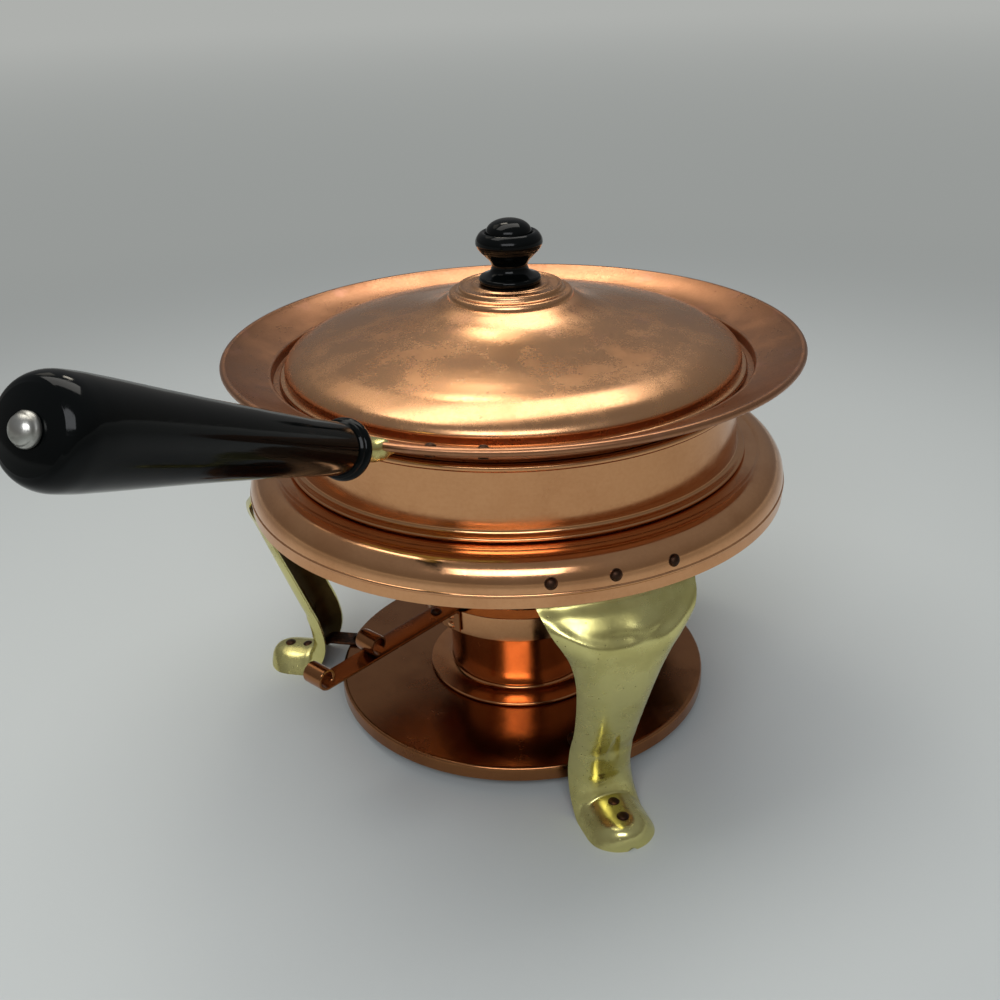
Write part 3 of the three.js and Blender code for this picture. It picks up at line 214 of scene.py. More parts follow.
def even_through(values: np.ndarray, steps: int) -> np.ndarray:
    """Fills in between the rows of a table, with no overshoot.

    Args:
        values: One row for each station, one column for each measure.
        steps: Stretches between two stations.

    Returns:
        The finer table.
    """
    rise = np.diff(values, axis=0)
    same = rise[:-1] * rise[1:] > 0
    middle = np.where(same, 2 * rise[:-1] * rise[1:] / np.where(same, rise[:-1] + rise[1:], 1), 0)
    slope = np.vstack([rise[:1], middle, rise[-1:]])
    share = np.linspace(0, 1, steps, endpoint=False)[:, None, None]
    s2, s3 = share**2, share**3
    fine = (
        (2 * s3 - 3 * s2 + 1) * values[:-1] + (s3 - 2 * s2 + share) * slope[:-1]
        + (3 * s2 - 2 * s3) * values[1:] + (s3 - s2) * slope[1:]
    )
    return np.vstack([fine.transpose(1, 0, 2).reshape(-1, values.shape[1]), values[-1:]])


# ---- Solid forms ----


def placed(azimuth: float, radius: float, height: float, lean: float = 0.0) -> Matrix:
    """Gives the frame of a spot on the dish, its own Z leaning outwards from upright.

    Args:
        azimuth: Direction of the spot from the axis, in degrees.
        radius: Distance of the spot from the axis.
        height: Height of the spot.
        lean: Lean of the frame's Z, in degrees.

    Returns:
        The frame.
    """
    turn = Matrix.Rotation(math.radians(azimuth), 4, "Z")
    tip = Matrix.Rotation(math.radians(lean), 4, "Y")
    return turn @ Matrix.Translation((radius, 0, height)) @ tip


@dataclass
class Form:
    """A closed mesh in millimetres, heights above the table."""

    points: np.ndarray
    faces: list[tuple[int, ...]]
    inner: list[int] = field(default_factory=list)  # faces on the side that no one polishes; their darker finish is partly painted shade

    def moved(self, frame: Matrix) -> "Form":
        """Carries the form into another frame."""
        turn = np.array(frame.to_3x3())
        return Form(self.points @ turn.T + np.array(frame.translation), self.faces, self.inner)

    def joined(self, other: "Form") -> "Form":
        """Adds another form to this one.

        Args:
            other: The form that is added.

        Returns:
            Both forms as one.
        """
        shift = len(self.points)
        faces = [tuple(shift + corner for corner in face) for face in other.faces]
        return Form(np.vstack([self.points, other.points]), self.faces + faces)

    @staticmethod
    def spun(outline: Line, steps: int = 192, inner_from: int | None = None) -> "Form":
        """Spins a closed outline round the upright axis.

        Args:
            outline: Radius and height of each corner, closing on itself or on the axis.
            steps: Stretches round the axis.
            inner_from: First corner of the outline's unpolished side, if it has one.

        Returns:
            The turned form.
        """
        radii, heights = np.array(outline, float).T
        angles = np.linspace(0, 2 * math.pi, steps, endpoint=False)
        rows, points = [], []
        for radius, height in zip(radii, heights):
            if radius < 1e-4:
                rows.append([len(points)] * steps)
                points.append((0.0, 0.0, height))
                continue
            rows.append(list(range(len(points), len(points) + steps)))
            points.extend((radius * math.cos(a), radius * math.sin(a), height) for a in angles)
        on_axis = radii[0] < 1e-4 and radii[-1] < 1e-4
        pairs = list(zip(rows, rows[1:])) + ([] if on_axis else [(rows[-1], rows[0])])
        faces, inner = [], []
        for index, (low, high) in enumerate(pairs):
            for i in range(steps):
                j = (i + 1) % steps
                corners = dict.fromkeys((low[i], low[j], high[j], high[i]))
                if len(corners) > 2:
                    if inner_from is not None and index >= inner_from:
                        inner.append(len(faces))
                    faces.append(tuple(corners))
        return Form(np.array(points, float), faces, inner)

    @staticmethod
    def lofted(sections: np.ndarray) -> "Form":
        """Joins a row of closed sections, and closes both ends.

        Args:
            sections: Array of section, corner and coordinate.

        Returns:
            The lofted form.
        """
        count, around = sections.shape[:2]
        faces = [
            (s * around + i, s * around + (i + 1) % around,
             (s + 1) * around + (i + 1) % around, (s + 1) * around + i)
            for s in range(count - 1) for i in range(around)
        ]
        faces += [tuple(range(around))[::-1], tuple(range((count - 1) * around, count * around))]
        return Form(sections.reshape(-1, 3), faces)

    @staticmethod
    def bar(line: np.ndarray, under: np.ndarray, across: np.ndarray, half: np.ndarray) -> "Form":
        """Makes a flat bar with broken edges, such as a strap, along a line.

        Args:
            line: Points on one face of the bar.
            under: Points on its other face.
            across: Direction of its width at each point.
            half: Half its width at each point.

        Returns:
            The bar.
        """
        gauge = np.linalg.norm(under[0] - line[0])
        sections = []
        for top, low, side, reach in zip(line, under, across, half):
            edge = min(0.22 * gauge, 0.5 * reach)
            deep = edge / gauge
            corners = [
                (edge - reach, 0), (reach - edge, 0), (reach, deep), (reach, 1 - deep),
                (reach - edge, 1), (edge - reach, 1), (-reach, 1 - deep), (-reach, deep),
            ]
            sections.append([top + (low - top) * depth + side * aside for aside, depth in corners])
        return Form.lofted(np.array(sections))

    @staticmethod
    def strap(line: Line, gauge: float, width: float, round_start: bool, round_end: bool) -> "Form":
        """Makes a bent strap that lies in the radius-height plane.

        Args:
            line: The line of its outer face, as radius and height.
            gauge: Its thickness, to the left of the line.
            width: Its width.
            round_start: Whether it starts with a half-round end.
            round_end: Whether it ends with one.

        Returns:
            The strap, lying along azimuth 0.
        """
        half = width / 2
        corners = np.array(line, float)
        lengths = np.r_[0, np.cumsum(np.linalg.norm(np.diff(corners, axis=0), axis=1))]
        total = lengths[-1]
        tips = half * (1 - np.cos(np.linspace(0.12, math.pi / 2, 9)))
        stops = list(lengths)
        if round_start:
            stops = [s for s in stops if s > half] + list(tips)
        if round_end:
            stops = [s for s in stops if s < total - half] + list(total - tips)
        stops = np.unique(np.round(stops, 4))
        fine = np.stack([np.interp(stops, lengths, corners[:, i]) for i in (0, 1)], 1)
        low = np.array(beside([tuple(p) for p in fine], gauge))
        reach = np.full(len(stops), half)
        for rounded, left in ((round_start, stops), (round_end, total - stops)):
            if rounded:
                narrow = half**2 - np.maximum(half - left, 0) ** 2
                reach = np.minimum(reach, np.sqrt(np.maximum(narrow, 0.01)))
        top, under = (np.insert(flat, 1, 0.0, axis=1) for flat in (fine, low))
        across = np.tile([0.0, 1.0, 0.0], (len(stops), 1))
        return Form.bar(top, under, across, reach)


# ---- Finishes ----


def linear(code: str) -> tuple[float, float, float, float]:
    """Turns an sRGB hex colour into linear light.

    Args:
        code: The colour, such as #C08040.

    Returns:
        Red, green, blue and a full alpha.
    """
    parts = [int(code[i:i + 2], 16) / 255 for i in (1, 3, 5)]
    light = [p / 12.92 if p <= 0.04045 else ((p + 0.055) / 1.055) ** 2.4 for p in parts]
    return (*light, 1.0)


def add_node(
    tree: bpy.types.NodeTree,
    kind: str,
    settings: dict[str, Any] | None = None,
    inputs: dict[str | int, Any] | None = None,
) -> bpy.types.Node:
    """Adds a node with its settings and links.

    Args:
        tree: The tree that gets the node.
        kind: Blender's name for the kind of node.
        settings: Properties of the node.
        inputs: Value, or output to link from, for each input.

    Returns:
        The new node.
    """
    node = tree.nodes.new(kind)
    for key, value in (settings or {}).items():
        setattr(node, key, value)
    for key, value in (inputs or {}).items():
        if isinstance(value, bpy.types.NodeSocket):
            tree.links.new(value, node.inputs[key])
        else:
            node.inputs[key].default_value = value
    return node


@dataclass(frozen=True)
class Finish:
    """What all finishes share: a name, a material made once, and a few patterns."""

    name: str

    def material(self) -> bpy.types.Material:
        """Gives the finish's material, made at its first use.

        Returns:
            The material.
        """
        found = bpy.data.materials.get(self.name)
        if found:
            return found
        made = bpy.data.materials.new(self.name)
        made.use_nodes = True
        made.node_tree.nodes.clear()
        shader = self.shade(made.node_tree)
        add_node(made.node_tree, "ShaderNodeOutputMaterial", inputs={"Surface": shader.outputs[0]})
        return made

    def shade(self, tree: bpy.types.NodeTree) -> bpy.types.Node:
        """Builds the finish's shader; each finish has its own."""
        raise NotImplementedError

    def cloud(self, tree: bpy.types.NodeTree, size_mm: float, low: float, high: float,
              detail: float = 4.0, shift: float = 0.0) -> bpy.types.NodeSocket:
        """Makes soft patches of one size.

        Args:
            tree: The material's tree.
            size_mm: Size of a patch.
            low: Noise level where patches start.
            high: Noise level where they are full.
            detail: Octaves of finer noise.
            shift: Offset that keeps two clouds apart.

        Returns:
            A socket from 0 to 1.
        """
        spot = add_node(tree, "ShaderNodeTexCoord")
        moved = add_node(tree, "ShaderNodeVectorMath", {"operation": "ADD"},
                         {0: spot.outputs["Object"], 1: (shift, 2 * shift, -shift)})
        noise = add_node(tree, "ShaderNodeTexNoise", None, {
            "Vector": moved.outputs[0], "Scale": 1 / (size_mm * MM), "Detail": detail, "Roughness": 0.55})
        level = add_node(tree, "ShaderNodeMapRange", {"interpolation_type": "SMOOTHSTEP"},
                         {"Value": noise.outputs[0], "From Min": low, "From Max": high})
        return level.outputs[0]

    def hairlines(self, tree: bpy.types.NodeTree, length_mm: float, spacing_mm: float, width: float,
                  turn: float) -> bpy.types.NodeSocket:
        """Makes fine stray scratches.

        Args:
            tree: The material's tree.
            length_mm: Length of a scratch.
            spacing_mm: Distance between scratches.
            width: Share of the spacing that a scratch takes.
            turn: Their direction in plan, in degrees.

        Returns:
            A socket that is 1 on a scratch.
        """
        spot = add_node(tree, "ShaderNodeTexCoord")
        laid = add_node(tree, "ShaderNodeMapping", {"vector_type": "TEXTURE"}, {
            "Vector": spot.outputs["Object"],
            "Rotation": (0.3, 0.2, math.radians(turn)),
            "Scale": (length_mm * MM, spacing_mm * MM, spacing_mm * MM),
        })
        noise = add_node(tree, "ShaderNodeTexNoise", None,
                         {"Vector": laid.outputs[0], "Scale": 1.0, "Detail": 1.0, "Distortion": 0.3})
        level = add_node(tree, "ShaderNodeMath", {"operation": "SUBTRACT"}, {0: noise.outputs[0], 1: 0.5})
        away = add_node(tree, "ShaderNodeMath", {"operation": "ABSOLUTE"}, {0: level.outputs[0]})
        line = add_node(tree, "ShaderNodeMapRange", None, {
            "Value": away.outputs[0], "From Min": 0.0, "From Max": width, "To Min": 1.0, "To Max": 0.0})
        return line.outputs[0]

    def blend(self, tree: bpy.types.NodeTree, share: bpy.types.NodeSocket, first: Any, second: Any,
              most: float = 1.0) -> bpy.types.NodeSocket:
        """Mixes two colours.

        Args:
            tree: The material's tree.
            share: Where the second colour shows, from 0 to 1.
            first: Colour where the share is 0.
            second: Colour where the share is 1.
            most: How much of the second colour shows at the most.

        Returns:
            The mixed colour.
        """
        part = add_node(tree, "ShaderNodeMath", {"operation": "MULTIPLY"}, {0: share, 1: most})
        mixed = add_node(tree, "ShaderNodeMix", {"data_type": "RGBA"},
                         {0: part.outputs[0], 6: first, 7: second})
        return mixed.outputs[2]

    def summed(self, tree: bpy.types.NodeTree, base: float,
               *parts: tuple[bpy.types.NodeSocket, float]) -> bpy.types.NodeSocket:
        """Adds weighted parts to a base value.

        Args:
            tree: The material's tree.
            base: The value to start from.
            parts: Each part with its weight.

        Returns:
            The sum.
        """
        total: Any = base
        for socket, weight in parts:
            step = add_node(tree, "ShaderNodeMath", {"operation": "MULTIPLY_ADD"},
                            {0: socket, 1: weight, 2: total})
            total = step.outputs[0]
        return total

    def relief(self, tree: bpy.types.NodeTree, height: bpy.types.NodeSocket, deep_mm: float,
               below: bpy.types.NodeSocket | None = None) -> bpy.types.NodeSocket:
        """Turns a height from 0 to 1 into a bump of a real depth.

        Args:
            tree: The material's tree.
            height: The height.
            deep_mm: Depth of the bump in millimetres.
            below: A bump that this one lies on, if there is one.

        Returns:
            The bent normal.
        """
        inputs = {"Height": height, "Distance": deep_mm * MM, "Strength": 1.0}
        if below is not None:
            inputs["Normal"] = below
        return add_node(tree, "ShaderNodeBump", None, inputs).outputs[0]


@dataclass(frozen=True)
class SpunCopper(Finish):
    """Copper sheet spun on a lathe, then buffed or left satin.

    The roller leaves fine rings that stretch each highlight across them, and the sheet is never quite
    even, so straight reflections waver. Handling leaves smudges, and age darkens and reddens it.
    """

    # Copper's own colour, darkened about a fifth as painted shade for the shaded floor in front that polished faces
    # reflect.
    metal: str = "#DFA677"
    tarnish: str = "#A96A3E"
    blush: str = "#CC9182"
    stain: str = "#6B3E26"
    roughness: float = 0.1
    smudging: float = 0.06
    tarnishing: float = 0.3
    blushing: float = 0.0
    graining: float = 0.1
    ring_mm: float = 1.6  # real rings are about 0.3 mm apart, drawn coarser so that they show
    ring_depth_mm: float = 0.003
    brush_mm: float = 0.9  # a real brush mark is a tenth of that
    waver_mm: float = 0.12
    waver_length_mm: float = 38.0
    stretch: float = 0.3

    def turned(self, tree: bpy.types.NodeTree, pitch_mm: float, breaks: float) -> bpy.types.NodeSocket:
        """Makes the marks that a tool leaves round the axis.

        Args:
            tree: The material's tree.
            pitch_mm: Distance between two marks.
            breaks: How often a mark breaks off on its way round.

        Returns:
            A socket from 0 to 1.
        """
        spot = add_node(tree, "ShaderNodeTexCoord")
        flat = add_node(tree, "ShaderNodeVectorMath", {"operation": "MULTIPLY"},
                        {0: spot.outputs["Object"], 1: (1.0, 1.0, 0.0)})
        reach = add_node(tree, "ShaderNodeVectorMath", {"operation": "LENGTH"}, {0: flat.outputs[0]})
        heading = add_node(tree, "ShaderNodeVectorMath", {"operation": "NORMALIZE"}, {0: flat.outputs[0]})
        turned = add_node(tree, "ShaderNodeVectorMath", {"operation": "SCALE"},
                          {0: heading.outputs[0], "Scale": breaks})
        parts = add_node(tree, "ShaderNodeSeparateXYZ", None, {0: turned.outputs[0]})
        height = add_node(tree, "ShaderNodeSeparateXYZ", None, {0: spot.outputs["Object"]})
        pitch = 1 / (pitch_mm * MM)
        across = add_node(tree, "ShaderNodeMath", {"operation": "MULTIPLY"},
                          {0: reach.outputs["Value"], 1: pitch})
        up = add_node(tree, "ShaderNodeMath", {"operation": "MULTIPLY"}, {0: height.outputs[2], 1: pitch})
        place = add_node(tree, "ShaderNodeCombineXYZ", None,
                         {0: across.outputs[0], 1: parts.outputs[0], 2: parts.outputs[1]})
        noise = add_node(tree, "ShaderNodeTexNoise", {"noise_dimensions": "4D"}, {
            "Vector": place.outputs[0], "W": up.outputs[0], "Scale": 1.0, "Detail": 2.0, "Roughness": 0.5})
        return noise.outputs[0]

    def shade(self, tree: bpy.types.NodeTree) -> bpy.types.Node:
        """Builds the copper's shader.

        Args:
            tree: The material's tree.

        Returns:
            The shader.
        """
        rings = self.turned(tree, self.ring_mm, 1.0)
        brushed = self.turned(tree, self.brush_mm, 14.0)
        patches = self.cloud(tree, 34, 0.42, 0.74, 5.0)
        smudges = self.cloud(tree, 17, 0.42, 0.7, 3.0, 3.1)
        grain = self.cloud(tree, 1.8, 0.35, 0.7, 3.0, 5.9)
        colour = self.blend(tree, patches, linear(self.metal), linear(self.tarnish), self.tarnishing)
        colour = self.blend(tree, brushed, colour, linear(self.tarnish), 0.14)
        colour = self.blend(tree, grain, colour, linear(self.tarnish), self.graining)
        if self.blushing:
            blush = self.cloud(tree, 15, 0.56, 0.7, 6.0, 7.7)
            colour = self.blend(tree, blush, colour, linear(self.blush), self.blushing)
            stains = self.cloud(tree, 5.5, 0.68, 0.76, 4.0, 11.3)
            colour = self.blend(tree, stains, colour, linear(self.stain), 0.5)
        rough = self.summed(tree, self.roughness, (smudges, self.smudging), (patches, 0.06), (brushed, 0.06),
                            (grain, self.graining * 0.4))
        waver = add_node(tree, "ShaderNodeTexNoise", None,
                         {"Scale": 1 / (self.waver_length_mm * MM), "Detail": 1.5})
        tree.links.new(add_node(tree, "ShaderNodeTexCoord").outputs["Object"], waver.inputs["Vector"])
        normal = self.relief(tree, waver.outputs[0], self.waver_mm)
        normal = self.relief(tree, rings, self.ring_depth_mm, normal)
        around = add_node(tree, "ShaderNodeTangent", {"direction_type": "RADIAL", "axis": "Z"})
        return add_node(tree, "ShaderNodeBsdfPrincipled", None, {
            "Base Color": colour, "Metallic": 1.0, "Roughness": rough,
            "Normal": normal, "Anisotropic": self.stretch, "Tangent": around.outputs[0],
        })


@dataclass(frozen=True)
class CastBrass(Finish):
    """Brass cast in sand and filed, with a thin greenish tarnish.

    The skin is smooth but faintly uneven, with small dark pits from the sand, duller hollows and
    brighter places where hands and polish reach.
    """

    metal: str = "#E0D790"
    tarnish: str = "#B5AA62"
    pit: str = "#4A4020"
    roughness: float = 0.2
    pit_spacing_mm: float = 2.6  # a pit itself is under a millimetre wide
    unevenness_mm: float = 11.0

    def shade(self, tree: bpy.types.NodeTree) -> bpy.types.Node:
        """Builds the brass's shader.

        Args:
            tree: The material's tree.

        Returns:
            The shader.
        """
        patches = self.cloud(tree, 24, 0.4, 0.68, 6.0, 1.7)
        smudges = self.cloud(tree, 9, 0.4, 0.7, 4.0, 5.2)
        spot = add_node(tree, "ShaderNodeTexCoord")
        grains = add_node(tree, "ShaderNodeTexVoronoi", None,
                          {"Vector": spot.outputs["Object"], "Scale": 1 / (self.pit_spacing_mm * MM),
                           "Randomness": 1.0})
        pits = add_node(tree, "ShaderNodeMapRange", None, {
            "Value": grains.outputs["Distance"], "From Min": 0.05, "From Max": 0.17,
            "To Min": 1.0, "To Max": 0.0})
        few = self.cloud(tree, 7, 0.53, 0.6, 2.0, 9.4)
        pitted = add_node(tree, "ShaderNodeMath", {"operation": "MULTIPLY"}, {0: pits.outputs[0], 1: few})
        colour = self.blend(tree, patches, linear(self.metal), linear(self.tarnish), 0.5)
        colour = self.blend(tree, pitted.outputs[0], colour, linear(self.pit), 0.8)
        uneven = add_node(tree, "ShaderNodeTexNoise", None,
                          {"Vector": spot.outputs["Object"], "Scale": 1 / (self.unevenness_mm * MM), "Detail": 3.0})
        normal = self.relief(tree, uneven.outputs[0], 0.22)
        normal = self.relief(tree, self.summed(tree, 0.0, (pitted.outputs[0], -1.0)), 0.1, normal)
        rough = self.summed(tree, self.roughness, (patches, 0.1), (smudges, 0.08), (pitted.outputs[0], 0.3))
        return add_node(tree, "ShaderNodeBsdfPrincipled", None, {
            "Base Color": colour, "Metallic": 1.0, "Roughness": rough, "Normal": normal})


@dataclass(frozen=True)
class OxidisedBronze(Finish):
    """Copper rivets and arms browned by heat and age.

    A dull brown skin with redder metal showing where it has rubbed, and shallow marks of the hammer.
    """

    skin: str = "#3F2C22"
    rubbed: str = "#74492F"
    roughness: float = 0.42
    hammer_mm: float = 1.6

    def shade(self, tree: bpy.types.NodeTree) -> bpy.types.Node:
        """Builds the bronze's shader.

        Args:
            tree: The material's tree.

        Returns:
            The shader.
        """
        rubbed = self.cloud(tree, 3.2, 0.48, 0.68, 4.0, 2.3)
        marks = self.cloud(tree, self.hammer_mm, 0.3, 0.7, 2.0, 4.9)
        colour = self.blend(tree, rubbed, linear(self.skin), linear(self.rubbed), 0.7)
        rough = self.summed(tree, self.roughness, (rubbed, -0.12), (marks, 0.08))
        normal = self.relief(tree, marks, 0.06)
        return add_node(tree, "ShaderNodeBsdfPrincipled", None, {
            "Base Color": colour, "Metallic": 1.0, "Roughness": rough, "Normal": normal})


@dataclass(frozen=True)
class BlackPhenolic(Finish):
    """Phenolic resin moulded black and buffed.

    A deep gloss with soft smears from handling, and hairline scratches that only show in a highlight.
    """

    resin: str = "#060808"
    worn: str = "#0B0D0D"
    roughness: float = 0.07
    scratch_mm: float = 26.0
    scratch_spacing_mm: float = 1.8

    def shade(self, tree: bpy.types.NodeTree) -> bpy.types.Node:
        """Builds the resin's shader.

        Args:
            tree: The material's tree.

        Returns:
            The shader.
        """
        smears = self.cloud(tree, 21, 0.42, 0.7, 4.0, 6.1)
        dust = self.cloud(tree, 2.2, 0.6, 0.75, 2.0, 8.8)
        lines = self.hairlines(tree, self.scratch_mm, self.scratch_spacing_mm, 0.014, 62)
        colour = self.blend(tree, smears, linear(self.resin), linear(self.worn), 0.5)
        rough = self.summed(tree, self.roughness, (smears, 0.09), (lines, 0.12), (dust, 0.06))
        uneven = self.cloud(tree, 30, 0.2, 0.8, 1.0, 1.1)
        normal = self.relief(tree, uneven, 0.1)
        return add_node(tree, "ShaderNodeBsdfPrincipled", None, {
            "Base Color": colour, "Metallic": 0.0, "Roughness": rough, "IOR": 1.5, "Specular IOR Level": 0.13,
            "Normal": normal})


@dataclass(frozen=True)
class PlatedSteel(Finish):
    """Turned steel with a thin zinc plate: grey, with a soft shine that is cloudy in patches."""

    plate: str = "#B9B8B2"
    dull: str = "#86847C"
    roughness: float = 0.28

    def shade(self, tree: bpy.types.NodeTree) -> bpy.types.Node:
        """Builds the steel's shader.

        Args:
            tree: The material's tree.

        Returns:
            The shader.
        """
        cloudy = self.cloud(tree, 4, 0.4, 0.7, 4.0, 3.3)
        colour = self.blend(tree, cloudy, linear(self.plate), linear(self.dull), 0.6)
        rough = self.summed(tree, self.roughness, (cloudy, 0.18))
        normal = self.relief(tree, cloudy, 0.02)
        return add_node(tree, "ShaderNodeBsdfPrincipled", None, {
            "Base Color": colour, "Metallic": 1.0, "Roughness": rough, "Normal": normal})


@dataclass(frozen=True)
class WireGauze(Finish):
    """Woven steel wire: a square weave whose holes are painted dark, as painted shade seen through them."""

    wire: str = "#9A968C"
    # Colour of the holes between the wires: painted shade.
    gap: str = "#1B1815"
    pitch_mm: float = 1.4  # a real gauze has a wire every millimetre, drawn coarser so that it shows

    def shade(self, tree: bpy.types.NodeTree) -> bpy.types.Node:
        """Builds the gauze's shader.

        Args:
            tree: The material's tree.

        Returns:
            The shader.
        """
        spot = add_node(tree, "ShaderNodeTexCoord")
        waves = [
            add_node(tree, "ShaderNodeTexWave", {"bands_direction": way}, {
                "Vector": spot.outputs["Object"], "Scale": 0.314 / (self.pitch_mm * MM), "Distortion": 0.4})
            for way in ("X", "Y")
        ]
        weave = add_node(tree, "ShaderNodeMath", {"operation": "MAXIMUM"},
                         {0: waves[0].outputs["Fac"], 1: waves[1].outputs["Fac"]})
        open_part = add_node(tree, "ShaderNodeMapRange", None,
                             {"Value": weave.outputs[0], "From Min": 0.35, "From Max": 0.7})
        colour = self.blend(tree, open_part.outputs[0], linear(self.gap), linear(self.wire))
        normal = self.relief(tree, weave.outputs[0], 0.25)
        return add_node(tree, "ShaderNodeBsdfPrincipled", None, {
            "Base Color": colour, "Metallic": 0.9, "Roughness": 0.45, "Normal": normal})


@dataclass(frozen=True)
class WickWool(Finish):
    """Mineral wool pressed into the cup: pale, dull and matted."""

    fibre: str = "#CFC8B8"
    # Darker colour where the tufts are low: painted shade in the hollows between them.
    gap_shade: str = "#8F8674"
    tuft_mm: float = 2.4

    def shade(self, tree: bpy.types.NodeTree) -> bpy.types.Node:
        """Builds the wool's shader.

        Args:
            tree: The material's tree.

        Returns:
            The shader.
        """
        tufts = self.cloud(tree, self.tuft_mm, 0.3, 0.7, 6.0, 0.7)
        colour = self.blend(tree, tufts, linear(self.gap_shade), linear(self.fibre))
        normal = self.relief(tree, tufts, 0.8)
        return add_node(tree, "ShaderNodeBsdfPrincipled", None, {
            "Base Color": colour, "Roughness": 0.95, "Sheen Weight": 0.3, "Normal": normal})


@dataclass(frozen=True)
class StudioPaper(Finish):
    """Pale seamless paper, matt. Far from the dish it becomes a painted glow that fades to an even pale grey, the
    same on all sides.
    """

    paper: str = "#C6CBCB"
    # Painted glow of the far paper: darker at middle distance, paler far off.
    middle_ground: str = "#979A98"
    far_ground: str = "#AEB0AD"
    fibre_mm: float = 1.2  # real fibres are a tenth of that, drawn coarser so that they show

    def fade(self, tree: bpy.types.NodeTree, near: float, far: float) -> bpy.types.NodeSocket:
        """Fades from the paper near the dish to the ground far from it.

        Args:
            tree: The material's tree.
            near: Distance from the dish where the fade starts, in metres.
            far: Distance where it ends.

        Returns:
            A socket from 0 near the dish to 1 far from it.
        """
        spot = add_node(tree, "ShaderNodeTexCoord")
        reach = add_node(tree, "ShaderNodeVectorMath", {"operation": "LENGTH"}, {0: spot.outputs["Object"]})
        share = add_node(tree, "ShaderNodeMapRange", {"interpolation_type": "SMOOTHSTEP"},
                         {"Value": reach.outputs["Value"], "From Min": near, "From Max": far})
        return share.outputs[0]

    def shade(self, tree: bpy.types.NodeTree) -> bpy.types.Node:
        """Builds the paper's shader. Its far part is a painted glow of set grey that shows as a background and
        lights nothing.

        Args:
            tree: The material's tree.

        Returns:
            The shader.
        """
        fibres = self.cloud(tree, self.fibre_mm, 0.2, 0.8, 2.0)
        paper = add_node(tree, "ShaderNodeBsdfPrincipled", None, {
            "Base Color": linear(self.paper), "Roughness": 0.8, "Normal": self.relief(tree, fibres, 0.02)})
        tint = self.blend(tree, self.fade(tree, 1.2, 7.0), linear(self.middle_ground), linear(self.far_ground))
        ray = add_node(tree, "ShaderNodeLightPath")
        shown: Any = ray.outputs["Is Camera Ray"]
        for way in ("Is Glossy Ray", "Is Transmission Ray"):
            shown = add_node(tree, "ShaderNodeMath", {"operation": "ADD", "use_clamp": True},
                             {0: shown, 1: ray.outputs[way]}).outputs[0]
        # The far paper is a painted glow, seen only by the camera and in reflections.
        ground = add_node(tree, "ShaderNodeEmission", None, {"Color": tint, "Strength": shown})
        return add_node(tree, "ShaderNodeMixShader", None, {
            0: self.fade(tree, 0.5, 1.35), 1: paper.outputs[0], 2: ground.outputs[0]})


POLISHED = SpunCopper("copper_spun_polished", roughness=0.08, waver_mm=0.1)
# Buffed copper whose metal is darkened about a fifth as painted shade, for the shaded floor in front that the water
# pan reflects.
BUFFED_SHADE_DIMMED = SpunCopper("copper_spun_buffed", metal="#D9A070", waver_mm=0.09, tarnishing=0.2)
SATIN = SpunCopper(
    "copper_spun_satin", metal="#D6A276", roughness=0.19, smudging=0.05, tarnishing=0.28, blushing=0.14,
    graining=0.1, ring_depth_mm=0.006, waver_mm=0.1, stretch=0.45)
BROWNED = SpunCopper(
    "copper_spun_browned", metal="#AE7D5B", tarnish="#85553A", roughness=0.24, tarnishing=0.4, blushing=0.2,
    graining=0.15, waver_mm=0.08, stretch=0.4)
# Darker copper: partly tarnish, partly painted shade for the dark underside of the stand that the tray reflects. It
# is used on the tray, the straps and the ring's inner side.
AGED_AND_SHADED = SpunCopper(
    "copper_spun_aged", metal="#A06C45", tarnish="#6E3E24", roughness=0.14, tarnishing=0.4, graining=0.08,
    waver_mm=0.06)
HEATED = SpunCopper(
    "copper_spun_heated", metal="#D0905F", tarnish="#96552E", roughness=0.11, tarnishing=0.4, waver_mm=0.08)
BRASS = CastBrass("brass_cast_polished")
# Unpolished, oxidised brass for the legs' hollow inner side, made darker still as painted shade for the shadow
# inside the hollow.
RAW_BRASS_AND_SHADE = CastBrass("brass_cast_raw", metal="#5A4A2A", tarnish="#33281A", pit="#1B140C", roughness=0.45)
BRONZE = OxidisedBronze("bronze_oxidised")
PHENOLIC = BlackPhenolic("phenolic_moulded_black")
STEEL = PlatedSteel("steel_zinc_plated")
GAUZE = WireGauze("gauze_steel_wire")
WOOL = WickWool("wool_mineral")
PAPER = StudioPaper("paper_seamless")


# ---- Putting pieces on the frame ----


